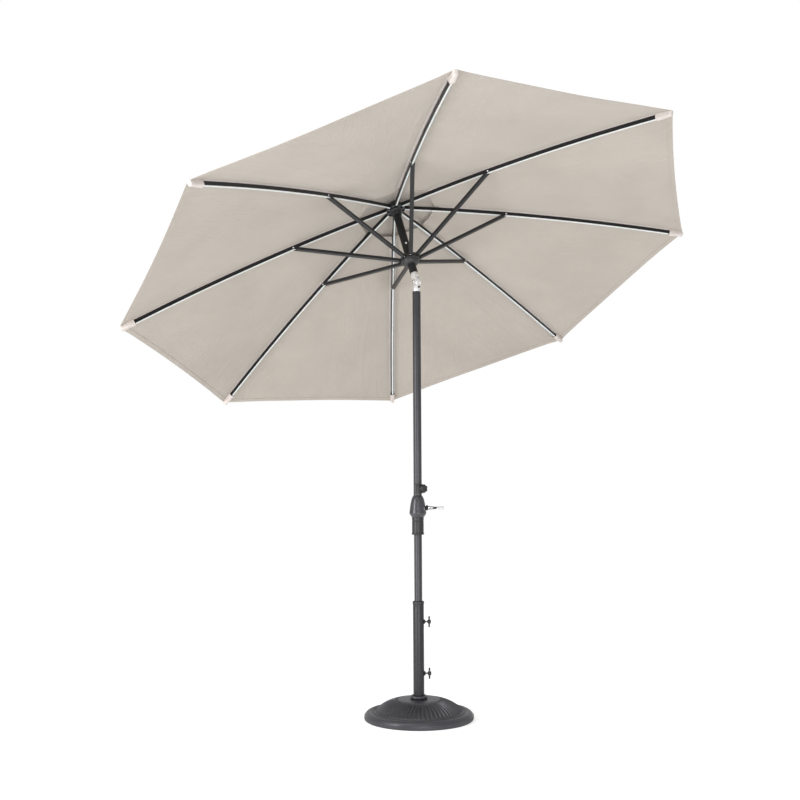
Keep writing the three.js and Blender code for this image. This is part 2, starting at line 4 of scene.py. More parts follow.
import bmesh
import bpy
import numpy as np
from mathutils import Matrix, Vector


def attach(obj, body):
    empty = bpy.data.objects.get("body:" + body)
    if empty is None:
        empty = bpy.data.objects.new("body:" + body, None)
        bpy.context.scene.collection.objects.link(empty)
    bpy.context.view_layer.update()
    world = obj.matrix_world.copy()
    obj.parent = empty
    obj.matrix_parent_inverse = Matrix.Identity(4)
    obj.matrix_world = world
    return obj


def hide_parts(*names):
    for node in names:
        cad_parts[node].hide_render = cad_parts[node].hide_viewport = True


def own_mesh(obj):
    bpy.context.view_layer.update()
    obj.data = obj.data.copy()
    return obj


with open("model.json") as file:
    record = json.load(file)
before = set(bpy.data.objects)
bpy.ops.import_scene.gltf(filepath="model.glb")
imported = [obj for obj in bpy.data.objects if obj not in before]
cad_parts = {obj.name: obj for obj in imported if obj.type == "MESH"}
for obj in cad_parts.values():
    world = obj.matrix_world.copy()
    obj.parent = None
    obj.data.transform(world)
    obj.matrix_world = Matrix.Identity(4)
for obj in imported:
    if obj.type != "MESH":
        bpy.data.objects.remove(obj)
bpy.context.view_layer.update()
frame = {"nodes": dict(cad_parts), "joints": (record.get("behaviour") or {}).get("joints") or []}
print("frame loaded:", len(frame["nodes"]), "nodes")

joints = {j["name"]: j for j in frame["joints"]}
tau = 2 * pi

# the stage, the lights and the camera

studio = {
    "floorSize": 60, "floorGrey": 0.9, "floorGlow": 0.44, "skySeen": 1.0, "skyLight": 0.62,
    "eye": (-0.0742, -4.7232, 1.0025), "pitch": 5.42, "yaw": -0.07, "roll": -0.25,
    "fieldOfView": 42.93, "sensor": 36,
}
lamps = {  # place, target, size and power
    "leftBox": ((-3.6, -2.6, 1.5), (0, 0, 1.2), (1.0, 3.4), 125),
    "topBox": ((-1.2, -1.5, 4.6), (0, 0, 1.0), (3.5, 3.5), 80),
    "frontFill": ((0.6, -5.4, 0.7), (0, 0, 1.8), (3.0, 1.2), 80),
}


def linked(name, data):
    holder = bpy.data.objects.new(name, data)
    bpy.context.scene.collection.objects.link(holder)
    return holder


def nodeOf(tree, kind, **settings):
    node = tree.nodes.new(kind)
    for key, value in settings.items():
        if hasattr(node, key):
            setattr(node, key, value)
        else:
            node.inputs[key.replace("_", " ")].default_value = value
    return node


def wired(tree, *links):
    # each link: a node, its output, the next node, its input
    for source, given, target, taken in links:
        tree.links.new(source.outputs[given], target.inputs[taken])


def makeSky():
    world = bpy.data.worlds.new("softBox")
    bpy.context.scene.world = world
    world.use_nodes = True
    tree = world.node_tree
    sky = tree.nodes["Background"]
    sky.inputs["Color"].default_value = (1, 1, 1, 1)
    rays = nodeOf(tree, "ShaderNodeLightPath")
    level = nodeOf(tree, "ShaderNodeMapRange", To_Min=studio["skyLight"], To_Max=studio["skySeen"])
    wired(tree, (rays, "Is Camera Ray", level, "Value"), (level, "Result", sky, "Strength"))


def makeLight(name, place, target, size, power):
    lamp = bpy.data.lights.new(name, "AREA")
    lamp.shape = "RECTANGLE"
    lamp.size, lamp.size_y = size
    lamp.energy = power
    holder = linked(name, lamp)
    holder.location = place
    holder.rotation_euler = (Vector(target) - Vector(place)).to_track_quat("-Z", "Y").to_euler()


def makeCamera():
    lens = bpy.data.cameras.new("camera")
    lens.sensor_width = studio["sensor"]
    lens.lens = studio["sensor"] / 2 / tan(radians(studio["fieldOfView"]) / 2)
    camera = linked("camera", lens)
    pitch, yaw, roll = (radians(studio[key]) for key in ("pitch", "yaw", "roll"))
    forward = Vector((sin(yaw) * cos(pitch), cos(yaw) * cos(pitch), sin(pitch)))
    level = forward.cross(Vector((0, 0, 1))).normalized()
    upright = level.cross(forward)
    right = level * cos(roll) + upright * sin(roll)
    up = right.cross(forward)
    turn = Matrix((right, up, -forward)).transposed().to_4x4()
    camera.matrix_world = Matrix.Translation(studio["eye"]) @ turn
    bpy.context.scene.camera = camera


makeSky()
for name, values in lamps.items():
    makeLight(name, *values)
makeCamera()
bpy.context.scene.view_settings.view_transform = "Standard"

# the finishes

finishes, usualSlots = {}, {}


def surface(name, slot, dark, light, rough, metal=0.0, patch=7, grain=700, bump=0.08, stretch=(1, 1, 1),
        **sockets):
    made = bpy.data.materials.new(name)
    made.use_nodes = True
    tree = made.node_tree
    shader = tree.nodes["Principled BSDF"]
    shader.inputs["Metallic"].default_value = metal
    for key, value in sockets.items():
        shader.inputs[key.replace("_", " ")].default_value = value
    coords = nodeOf(tree, "ShaderNodeTexCoord")
    place = nodeOf(tree, "ShaderNodeMapping", Scale=stretch)
    wired(tree, (coords, "Object", place, "Vector"))
    patches = nodeOf(tree, "ShaderNodeTexNoise", Scale=patch, Detail=4, Roughness=0.6)
    grains = nodeOf(tree, "ShaderNodeTexNoise", Scale=grain, Detail=3, Roughness=0.55)
    for texture in (patches, grains):
        wired(tree, (place, "Vector", texture, "Vector"))
    blend = nodeOf(tree, "ShaderNodeMath", operation="MULTIPLY_ADD")
    wired(tree, (grains, "Fac", blend, 0))
    blend.inputs[1].default_value = 0.45
    shift = nodeOf(tree, "ShaderNodeMath", operation="MULTIPLY")
    shift.inputs[1].default_value = 0.55
    wired(tree, (patches, "Fac", shift, 0), (shift, 0, blend, 2))
    ramp = nodeOf(tree, "ShaderNodeValToRGB")
    ramp.color_ramp.elements[0].position = 0.32
    ramp.color_ramp.elements[0].color = (*dark, 1)
    ramp.color_ramp.elements[1].position = 0.68
    ramp.color_ramp.elements[1].color = (*light, 1)
    wired(tree, (blend, 0, ramp, "Fac"), (ramp, "Color", shader, "Base Color"))
    gloss = nodeOf(tree, "ShaderNodeMapRange", To_Min=rough[0], To_Max=rough[1])
    wired(tree, (blend, 0, gloss, "Value"), (gloss, "Result", shader, "Roughness"))
    dents = nodeOf(tree, "ShaderNodeBump", Strength=bump, Distance=0.0006)
    wired(tree, (grains, "Fac", dents, "Height"), (dents, "Normal", shader, "Normal"))
    finishes[name], usualSlots[name] = made, slot
    return made


surface("castIronPaint", "cast_iron", (0.046, 0.046, 0.052), (0.078, 0.078, 0.087), (0.28, 0.42), 0.45,
    9, 520, 0.35)
surface("polePaint", "pole_paint", (0.045, 0.045, 0.05), (0.066, 0.066, 0.072), (0.34, 0.46), 0.55, 5,
    1600, 0.1)
surface("tubePaint", "tube_paint", (0.022, 0.022, 0.025), (0.036, 0.036, 0.041), (0.32, 0.44), 0.45, 5,
    1500, 0.14)
surface("ribPaint", "rib_paint", (0.007, 0.007, 0.0075), (0.013, 0.013, 0.014), (0.38, 0.52), 0.3, 6,
    1400, 0.12)
surface("strutPaint", "rib_paint", (0.011, 0.011, 0.012), (0.02, 0.02, 0.022), (0.38, 0.52), 0.2, 6,
    1400, 0.12)
surface("housingShell", "housing_plastic", (0.05, 0.05, 0.056), (0.075, 0.075, 0.082), (0.24, 0.34),
    0.35, 11, 1200, 0.06)
surface("mouldedBlack", "black_plastic", (0.010, 0.010, 0.011), (0.021, 0.021, 0.023), (0.36, 0.5), 0.0,
    12, 1900, 0.16)
surface("rubberBlack", "black_plastic", (0.008, 0.008, 0.008), (0.016, 0.016, 0.016), (0.62, 0.78), 0.0,
    14, 900, 0.2)
surface("chromePlate", "chrome_steel", (0.62, 0.62, 0.63), (0.8, 0.8, 0.81), (0.08, 0.2), 1.0, 30, 900,
    0.03)
surface("turnedAlloy", "polished_alloy", (0.86, 0.86, 0.87), (0.96, 0.96, 0.97), (0.22, 0.36), 0.75, 14,
    700, 0.05, (1, 1, 14))
surface("paleGrip", "grip_plastic", (0.5, 0.5, 0.49), (0.64, 0.64, 0.63), (0.42, 0.55), 0.0, 20, 1500,
    0.1)
surface("lightLens", "grip_plastic", (0.62, 0.61, 0.6), (0.74, 0.73, 0.72), (0.28, 0.4), 0.0, 25, 900,
    0.03, Subsurface_Weight=0.15)
surface("pocketWeb", "canopy_cloth", (0.5, 0.45, 0.42), (0.6, 0.55, 0.52), (0.78, 0.9), 0.0, 40, 1300,
    0.5, Sheen_Weight=0.2)
surface("seamThread", "canopy_cloth", (0.4, 0.36, 0.32), (0.5, 0.46, 0.41), (0.6, 0.75), 0.0, 60, 1500,
    0.3, Sheen_Weight=0.2)
print("finishes made:", len(finishes))

# making pieces

mm = 0.001
gap = 0.35  # between parts that stand next to each other, in mm


def inMetres(points):
    return [(x * mm, y * mm, z * mm) for x, y, z in points]


def newPiece(name, points, faces):
    mesh = bpy.data.meshes.new(name)
    mesh.from_pydata([tuple(p) for p in points], [], [tuple(f) for f in faces])
    mesh.validate()
    return linked(name, mesh)


def applied(piece):
    bpy.context.view_layer.update()
    seen = piece.evaluated_get(bpy.context.evaluated_depsgraph_get())
    mesh = bpy.data.meshes.new_from_object(seen, depsgraph=bpy.context.evaluated_depsgraph_get())
    piece.modifiers.clear()
    piece.data = mesh
    return piece


def turnedOut(piece):
    work = bmesh.new()
    work.from_mesh(piece.data)
    bmesh.ops.remove_doubles(work, verts=work.verts, dist=1e-6)
    bmesh.ops.dissolve_degenerate(work, edges=work.edges, dist=1e-7)
    bmesh.ops.recalc_face_normals(work, faces=work.faces)
    work.to_mesh(piece.data)
    work.free()
    return piece


def softened(profile, radius, steps=3):
    # rounds the corners of a line of [radius, height] points
    made = [profile[0]]
    for before, corner, after in zip(profile, profile[1:], profile[2:]):
        a, b, c = Vector(before), Vector(corner), Vector(after)
        toBack, toFront = a - b, c - b
        cut = min(radius, toBack.length * 0.45, toFront.length * 0.45)
        straight = abs(toBack.normalized().cross(toFront.normalized())) < 0.08
        if straight or cut < 1e-5:
            made.append(corner)
            continue
        start, end = b + toBack.normalized() * cut, b + toFront.normalized() * cut
        for i in range(steps + 1):
            t = i / steps
            made.append(tuple(start * (1 - t) ** 2 + b * 2 * t * (1 - t) + end * t * t))
    return made + [profile[-1]]


def flowing(points, steps=4):
    # a smooth line through the points
    p = [Vector(q) for q in points]
    p = [2 * p[0] - p[1]] + p + [2 * p[-1] - p[-2]]
    made = []
    for a, b, c, d in zip(p, p[1:], p[2:], p[3:]):
        for i in range(steps):
            t = i / steps
            made.append(tuple(0.5 * (2 * b + (c - a) * t + (2 * a - 5 * b + 4 * c - d) * t * t
                + (3 * b - a - 3 * c + d) * t ** 3)))
    return made + [tuple(p[-2])]


def lathe(name, profile, around=96, soft=0.6, change=None):
    # a profile in mm turned round Z: it closes on itself, or starts and ends on the axis
    line = softened([(r, z) for r, z in profile], soft) if soft else list(profile)
    closed = line[0] == line[-1]
    if closed:
        line = line[:-1]
    points, rings = [], []
    for r, z in line:
        if r < 1e-6:
            rings.append([len(points)] * around)
            points.append((0, 0, z * mm))
            continue
        rings.append(range(len(points), len(points) + around))
        for i in range(around):
            turn = tau * i / around
            rr, zz = change(turn, r, z) if change else (r, z)
            points.append((rr * mm * cos(turn), rr * mm * sin(turn), zz * mm))
    faces = []
    pairs = list(zip(rings, rings[1:])) + ([(rings[-1], rings[0])] if closed else [])
    for low, high in pairs:
        for i in range(around):
            j = (i + 1) % around
            face = list(dict.fromkeys((low[i], low[j], high[j], high[i])))
            if len(face) > 2:
                faces.append(face)
    return turnedOut(newPiece(name, points, faces))


def rod(name, radius, low, high, around=96, soft=0.6):
    return lathe(name, [(0, low), (radius, low), (radius, high), (0, high)], around, soft)


def pipe(name, bore, radius, low, high, around=96, soft=0.6):
    return lathe(name, [(bore, low), (radius, low), (radius, high), (bore, high), (bore, low)], around,
        soft)


def slab(name, outline, low, high, edge=0.5, steps=2):
    # an outline in mm in X and Y, thick from low to high in Z, with rounded edges
    count = len(outline)
    points = inMetres((x, y, z) for z in (low, high) for x, y in outline)
    faces = [tuple(range(count))[::-1], tuple(range(count, 2 * count))]
    faces += [(i, (i + 1) % count, count + (i + 1) % count, count + i) for i in range(count)]
    piece = turnedOut(newPiece(name, points, faces))
    if edge:
        bevel = piece.modifiers.new("bevel", "BEVEL")
        bevel.width, bevel.segments, bevel.limit_method = edge * mm, steps, "ANGLE"
        bevel.angle_limit = radians(50)
        applied(piece)
    return piece


def circle(x, y, radius, count):
    return [(x + radius * cos(t), y + radius * sin(t)) for t in np.linspace(0, tau, count + 1)[:-1]]


def stadium(x0, x1, radius, steps=14):
    right = [(x1 + radius * cos(t), radius * sin(t)) for t in np.linspace(-pi / 2, pi / 2, steps + 1)]
    left = [(x0 + radius * cos(t), radius * sin(t)) for t in np.linspace(pi / 2, 3 * pi / 2, steps + 1)]
    return right + left


def brick(name, low, high, edge=0.0):
    (x0, y0, z0), (x1, y1, z1) = low, high
    return slab(name, [(x0, y0), (x1, y0), (x1, y1), (x0, y1)], z0, z1, edge)


def moved(piece, place):
    piece.data.transform(place)
    if place.determinant() < 0:
        piece.data.flip_normals()
    return piece


def merged(name, *pieces):
    # several closed shells as one piece
    work = bmesh.new()
    for piece in pieces:
        work.from_mesh(piece.data)
        bpy.data.objects.remove(piece)
    mesh = bpy.data.meshes.new(name)
    work.to_mesh(mesh)
    work.free()
    return linked(name, mesh)


def carved(piece, tool, how="DIFFERENCE"):
    bpy.context.view_layer.update()
    cut = piece.modifiers.new("cut", "BOOLEAN")
    cut.object, cut.operation, cut.solver = tool, how, "EXACT"
    cut.use_self = False
    applied(piece)
    bpy.data.objects.remove(tool)
    return piece


def drilled(piece, radius, low, high, place=Matrix(), around=48):
    return carved(piece, moved(rod("hole", radius, low, high, around, 0), place))


def painted(piece, finish, angle=38):
    piece.data.materials.clear()
    piece.data.materials.append(finishes[finish])
    piece.data.shade_smooth()
    piece.data.set_sharp_from_angle(angle=radians(angle))


def finished(piece, body, finish, node=None, angle=38):
    painted(piece, finish, angle)
    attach(piece, body)
    if node:
        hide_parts(node)


def mapped(mesh, name, flats):
    # one flat place in metres for each point
    corner = np.zeros(len(mesh.loops), int)
    mesh.loops.foreach_get("vertex_index", corner)
    mesh.uv_layers.new(name=name).data.foreach_set("uv", np.array(flats)[corner].ravel())
    return corner


alongX = Matrix.Rotation(pi / 2, 4, "Y")
alongY = Matrix.Rotation(-pi / 2, 4, "X")


def at(x=0.0, y=0.0, z=0.0):
    return Matrix.Translation((x * mm, y * mm, z * mm))


# stitches, rivets and beads by geometry nodes

def nodeTree(name, sizes):
    tree = bpy.data.node_groups.new(name, "GeometryNodeTree")
    tree.interface.new_socket("Geometry", in_out="INPUT", socket_type="NodeSocketGeometry")
    for label, kind in sizes.items():
        tree.interface.new_socket(label, in_out="INPUT", socket_type=kind)
    tree.interface.new_socket("Geometry", in_out="OUTPUT", socket_type="NodeSocketGeometry")
    return tree, nodeOf(tree, "NodeGroupInput"), nodeOf(tree, "NodeGroupOutput")


def endTree(tree, given, last, out):
    real = nodeOf(tree, "GeometryNodeRealizeInstances")
    paint = nodeOf(tree, "GeometryNodeSetMaterial")
    wired(tree, (last, 0, real, 0), (real, 0, paint, "Geometry"), (given, "Finish", paint, "Material"),
        (paint, 0, out, 0))
    return tree


def makeStitchTree():
    # short threads laid end to end along a line
    tree, given, out = nodeTree("stitchesAlong", {"Pitch": "NodeSocketFloat",
        "Thread": "NodeSocketFloat", "Share": "NodeSocketFloat", "Finish": "NodeSocketMaterial"})
    line = nodeOf(tree, "GeometryNodeMeshToCurve")
    steps = nodeOf(tree, "GeometryNodeResampleCurve", mode="LENGTH")
    tangent = nodeOf(tree, "GeometryNodeInputTangent")
    facing = nodeOf(tree, "FunctionNodeAlignRotationToVector", axis="Z")
    thread = nodeOf(tree, "GeometryNodeMeshCylinder", Vertices=6)
    length = nodeOf(tree, "ShaderNodeMath", operation="MULTIPLY")
    spread = nodeOf(tree, "GeometryNodeInstanceOnPoints")
    wired(tree, (given, "Geometry", line, 0), (line, 0, steps, "Curve"),
        (given, "Pitch", steps, "Length"), (given, "Pitch", length, 0), (given, "Share", length, 1),
        (length, 0, thread, "Depth"), (given, "Thread", thread, "Radius"),
        (tangent, 0, facing, "Vector"), (steps, 0, spread, "Points"),
        (thread, "Mesh", spread, "Instance"), (facing, 0, spread, "Rotation"))
    return endTree(tree, given, spread, out)


def makeBeadTree():
    # upright round bars evenly round a circle
    tree, given, out = nodeTree("beadsRound", {"Count": "NodeSocketInt", "Radius": "NodeSocketFloat",
        "Bar": "NodeSocketFloat", "Height": "NodeSocketFloat", "Finish": "NodeSocketMaterial"})
    ring = nodeOf(tree, "GeometryNodeCurvePrimitiveCircle")
    bar = nodeOf(tree, "GeometryNodeMeshCylinder", Vertices=8)
    spread = nodeOf(tree, "GeometryNodeInstanceOnPoints")
    wired(tree, (given, "Count", ring, "Resolution"), (given, "Radius", ring, "Radius"),
        (given, "Bar", bar, "Radius"), (given, "Height", bar, "Depth"), (ring, 0, spread, "Points"),
        (bar, "Mesh", spread, "Instance"))
    return endTree(tree, given, spread, out)


def makeRivetTree():
    # a domed head on each point, facing along the point's own direction
    tree, given, out = nodeTree("rivetsOn", {"Head": "NodeSocketFloat", "Dome": "NodeSocketFloat",
        "Finish": "NodeSocketMaterial"})
    facing = nodeOf(tree, "FunctionNodeAlignRotationToVector", axis="Z")
    heading = nodeOf(tree, "GeometryNodeInputNamedAttribute", data_type="FLOAT_VECTOR", Name="facing")
    ball = nodeOf(tree, "GeometryNodeMeshUVSphere", Segments=16, Rings=8, Radius=1)
    size = nodeOf(tree, "ShaderNodeCombineXYZ")
    points = nodeOf(tree, "GeometryNodeMeshToPoints")
    spread = nodeOf(tree, "GeometryNodeInstanceOnPoints")
    for axis, source in (("X", "Head"), ("Y", "Head"), ("Z", "Dome")):
        wired(tree, (given, source, size, axis))
    wired(tree, (heading, 0, facing, "Vector"), (given, "Geometry", points, 0),
        (points, 0, spread, "Points"), (ball, "Mesh", spread, "Instance"),
        (facing, 0, spread, "Rotation"), (size, 0, spread, "Scale"))
    return endTree(tree, given, spread, out)


stitchTree, beadTree, rivetTree = makeStitchTree(), makeBeadTree(), makeRivetTree()


def grown(piece, tree, **sizes):
    # runs a tree on a piece and keeps its result as a plain mesh
    run = piece.modifiers.new(tree.name, "NODES")
    run.node_group = tree
    for socket in tree.interface.items_tree:
        if socket.in_out == "INPUT" and socket.name in sizes:
            run[socket.identifier] = sizes[socket.name]
    return turnedOut(applied(piece))


def stitched(name, lines, pitch=5.5, thread=0.42, share=0.62):
    # each line is a list of points in metres
    points, edges = [], []
    for line in lines:
        start = len(points)
        points += [tuple(p) for p in line]
        edges += [(start + i, start + i + 1) for i in range(len(line) - 1)]
    mesh = bpy.data.meshes.new(name)
    mesh.from_pydata(points, edges, [])
    return grown(linked(name, mesh), stitchTree, Pitch=pitch * mm, Thread=thread * mm, Share=share,
        Finish=finishes["seamThread"])


def riveted(name, spots, head=4.2, dome=2.0, finish="turnedAlloy"):
    # each spot is a point and the way its head faces, in metres
    mesh = bpy.data.meshes.new(name)
    mesh.from_pydata([tuple(p) for p, way in spots], [], [])
    ways = mesh.attributes.new("facing", "FLOAT_VECTOR", "POINT")
    ways.data.foreach_set("vector", [c for p, way in spots for c in way])
    return grown(linked(name, mesh), rivetTree, Head=head * mm, Dome=dome * mm, Finish=finishes[finish])


# the cast base and its tube

base = {
    "radius": 247, "height": 90, "flat": 34, "flutes": 60, "fluteInner": 90, "fluteEnd": 198,
    "fluteDepth": 7.0, "fluteShare": 0.76, "shoulder": 200, "edge": 35, "wall": 10, "boss": 44,
    "socket": 25.35, "socketFloor": 12, "footWidth": 13, "beads": 216, "beadSize": 2.1, "perFlute": 12,
}
tube = {"radius": 25, "wall": 2.4, "top": 512, "nut": 9, "collarBead": 7.5}
knobHeights = {"lower": 202, "upper": 433}


def domeHeight(r):
    share = max(0.0, (r - base["flat"]) / (base["shoulder"] - base["flat"]))
    return base["edge"] + (base["height"] - base["edge"]) * max(0.0, cos(pi / 2 * share ** 1.6)) ** 0.8


def fluted(turn, r, z):
    # scooped flutes with rounded ends, on the top face only
    if not base["fluteInner"] < r < base["fluteEnd"] or z < domeHeight(r) - 1:
        return r, z
    across = ((turn * base["flutes"] / tau) % 1 * 2 - 1) / base["fluteShare"]
    scoop = base["fluteShare"] * pi * base["fluteEnd"] / base["flutes"]
    past = max(0.0, (r - (base["fluteEnd"] - scoop)) / scoop)
    rise = min(1.0, (r - base["fluteInner"]) / 34)
    hollow = max(0.0, 1 - across ** 2 - past ** 2) ** 0.6
    return r, z - base["fluteDepth"] * rise * rise * (3 - 2 * rise) * hollow


def makeBase():
    top = [(r, domeHeight(r)) for r in (*np.linspace(base["flat"], base["fluteInner"], 12),
        *np.linspace(base["fluteInner"] + 4, base["fluteEnd"] - 14, 22),
        *np.linspace(base["fluteEnd"] - 12, base["fluteEnd"], 9))]
    rim = flowing([(base["shoulder"], base["edge"] - 0.5), (203.5, 32.5), (205.5, 28.6), (208.5, 28),
        (213, 31.5), (219, 34.8), (226, 35.8), (235, 33), (241.5, 27.5), (245.6, 20.5), (246.6, 13),
        (246.4, 6), (245.4, 2), (243.5, 0)], 3)
    foot = base["radius"] - 3 - base["footWidth"]
    under = [(foot, 0), (foot - 4, 20), (base["shoulder"], 20), (150, domeHeight(150) - base["wall"]),
        (100, domeHeight(100) - base["wall"]), (base["boss"], domeHeight(62) - base["wall"]),
        (base["boss"], 0), (0, 0)]
    socket = [(0, base["socketFloor"]), (base["socket"], base["socketFloor"]),
        (base["socket"], base["height"] - 1), (base["socket"] + 1, base["height"])]
    profile = socket + top + rim + under
    casting = lathe("baseCasting", profile, base["flutes"] * base["perFlute"], 0, fluted)
    finished(casting, "stand", "castIronPaint", "base_casting", 50)

    seed = newPiece("rimBeads", [(0, 0, 0)], [])
    beads = grown(seed, beadTree, Count=base["beads"], Radius=(base["radius"] - 1.2) * mm,
        Bar=base["beadSize"] * mm, Height=15 * mm, Finish=finishes["castIronPaint"])
    finished(moved(beads, at(z=12.2)), "stand", "castIronPaint", None, 50)

    middle = tube["radius"] + gap + tube["collarBead"]
    height = base["height"] + gap + tube["collarBead"]
    bead = circle(middle, height, tube["collarBead"], 28)
    collar = lathe("baseCollar", bead + bead[:1], 96, 0)
    finished(collar, "stand", "castIronPaint", "base_collar", 60)


def makeTube():
    bore = tube["radius"] - tube["wall"]
    low = base["socketFloor"] + gap
    barrel = pipe("baseTube", bore, tube["radius"], low, tube["top"])
    nuts = []
    for place, height in knobHeights.items():
        nut = slab("nut", circle(0, 0, tube["nut"], 6), bore + 1, tube["radius"] + 6, 0.8)
        nuts.append(moved(drilled(nut, 4.35, 10, 60, around=32), at(z=height) @ alongX))
        weld = lathe("weld", [(8.4, 25.2), (11.2, 25.2), (10.2, 27.4), (8.8, 28.4), (8.4, 25.2)], 40,
            0.5)
        nuts.append(moved(weld, at(z=height) @ alongX))
    finished(merged("baseTube", barrel, *nuts), "stand", "tubePaint", "base_tube")

    inner, seat, lip = 18.5, tube["top"] + gap, tube["radius"] + 1.5
    bush = lathe("tubeBush", [(inner, seat - 30), (bore - gap, seat - 30), (bore - gap, seat),
        (lip, seat), (lip, seat + 11), (lip - 3, seat + 14), (inner, seat + 14), (inner, seat - 30)],
        96, 1.2)
    finished(bush, "stand", "mouldedBlack", "tube_bush")


def makeWingKnob(place, height):
    start = tube["radius"] + 16
    ears = [(25 * cos(t) * (1 - 0.1 * sin(t) ** 2), 7.2 * sin(t) * (0.72 + 0.28 * cos(t) ** 2) * 1.05)
        for t in np.linspace(0, tau, 49)[:-1]]
    wing = slab("wing", ears, start + 4, start + 11.5, 2.4, 4)
    hub = lathe("hub", [(0, start), (7.4, start), (9, start + 2), (9, start + 12), (8, start + 15),
        (6, start + 16), (0, start + 16)], 64, 1.2)
    knob = carved(wing, hub, "UNION")
    knob = moved(drilled(knob, 4.3, start - 2, start + 12, around=32), at(z=height) @ alongX)
    knob.name = f"{place}WingKnob"
    finished(knob, f"{place}_knob", "mouldedBlack", f"{place}_wing_knob")
    thread = [(0, 18.4), (3.2, 18.4)]
    for i in range(23):
        thread += [(4.0, 19.2 + i * 1.25), (3.55, 19.8 + i * 1.25)]
    thread += [(3.9, start + 11), (0, start + 11)]
    screw = moved(lathe(f"{place}KnobScrew", thread, 32, 0), at(z=height) @ alongX)
    finished(screw, f"{place}_knob", "chromePlate", f"{place}_knob_screw", 30)


makeBase()
makeTube()
for place, height in knobHeights.items():
    makeWingKnob(place, height)
print("base made")

# the mast, its crank and its clamp

mast = {
    "lower": 18, "upper": 19, "wall": 1.6, "plugTop": 38, "top": 1963, "collar": 27.5,
    "collarBottom": 827, "housingBottom": 907, "housingTop": 1007, "housing": 39, "clampHeight": 1038,
    "clampAzimuth": -45,
}
crank = {"height": 950, "shaft": 5, "throw": 72, "sweep": 42, "grip": 27, "gripRadius": 7.5, "eye": 8.5}


def makePoles():
    parting = 19
    for part, bottom, top in (("lower", mast["plugTop"] + gap, crank["height"] - parting),
            ("upper", crank["height"] + parting, mast["top"])):
        radius = mast[part]
        pole = pipe(f"{part}Pole", radius - mast["wall"], radius, bottom, top, 96, 0.5)
        finished(pole, "mast", "polePaint", f"{part}_pole")


def makeHousing():
    bottom, top, wide = mast["housingBottom"], mast["housingTop"], mast["housing"]
    outside = [(mast["collar"] + 0.5, bottom), *flowing([(wide - 1.4, bottom + 13.6),
        (wide, bottom + 18), (wide - 1.6, bottom + 32), (wide - 4, bottom + 52),
        (wide - 7.2, bottom + 70), (wide - 11, bottom + 85), (wide - 15, bottom + 94),
        (mast["upper"] + 1, top)], 4)]
    inside = [(mast["upper"] + 0.4, top), (mast["upper"] + 0.4, top - 9), (25, top - 21),
        (33, crank["height"]), (36, bottom + 17), (25.5, bottom + 5), (18.4, bottom + 5),
        (18.4, bottom), (mast["collar"] + 0.5, bottom)]

    def parted(turn, r, z):
        # the two halves of the shell meet in a fine groove, front and back
        seam = min(abs(turn - tau / 4), abs(turn - 3 * tau / 4))
        return (r - 0.7 if seam < 0.01 and r > 20 else r), z

    shell = lathe("crankHousing", outside + inside, 192, 0.7, parted)
    drilled(shell, 9, 20, 60, at(z=crank["height"]) @ alongX)
    finished(shell, "mast", "housingShell", "crank_housing", 34)

    low, r = mast["collarBottom"], mast["collar"]
    rings = [(18.4, low), (r - 1.2, low), (r + 1, low + 2.4), (r + 1, low + 6.6), (r - 0.6, low + 9.5),
        (r - 0.6, low + 60), (r - 1.6, low + 61.5), (r - 1.6, low + 63.5), (r - 0.3, low + 65),
        (r - 0.3, bottom - gap), (18.4, bottom - gap), (18.4, low)]
    finished(lathe("housingCollar", rings, 96, 0.8), "mast", "mouldedBlack", "housing_collar", 38)
    spots = []
    for turn, z in ((-100, 975), (-100, 925), (-250, 975), (-250, 925)):
        way = Vector((cos(radians(turn)), sin(radians(turn)), 0))
        spots.append((way * (31.2 if z > 950 else 38.3) * mm + Vector((0, 0, z * mm)), way))
    screws = riveted("housingScrews", spots, 2.8, 1.0, "mouldedBlack")
    finished(screws, "mast", "mouldedBlack", None, 38)


def makeClamp():
    turn = Matrix.Rotation(radians(mast["clampAzimuth"]), 4, "Z")
    place = at(z=mast["clampHeight"]) @ turn
    r = mast["upper"]
    wrap = pipe("clampSaddle", r + gap, r + 6, -21, 21, 96, 1.6)
    carved(wrap, brick("half", (2, -60, -30), (60, 60, 30)), "INTERSECT")
    boss = moved(lathe("boss", [(0, r + 3), (10.5, r + 3), (9.4, r + 10), (0, r + 10)], 48, 0.8),
        alongX)
    saddle = carved(wrap, boss, "UNION")
    drilled(saddle, 4.35, 2, 60, alongX, 32)
    drilled(saddle, r + gap, -30, 30, around=96)
    finished(moved(saddle, place), "mast", "mouldedBlack", "clamp_saddle")

    start = r + 11
    lobes = [((17.6 + 1.9 * cos(6 * t)) * cos(t), (17.6 + 1.9 * cos(6 * t)) * sin(t))
        for t in np.linspace(0, tau, 97)[:-1]]
    star = slab("clampKnob", lobes, start + 3, start + 17, 2.6, 4)
    neck = rod("neck", 10, start, start + 5, 48, 0.5)
    carved(star, neck, "UNION")
    dish = lathe("dish", [(0, start + 15.6), (9, start + 15.6), (10.5, start + 18), (0, start + 18)],
        48, 0.6)
    carved(star, dish)
    drilled(star, 4.35, start - 1, start + 12, around=32)
    finished(moved(star, place @ alongX), "clamp", "mouldedBlack", "clamp_knob")


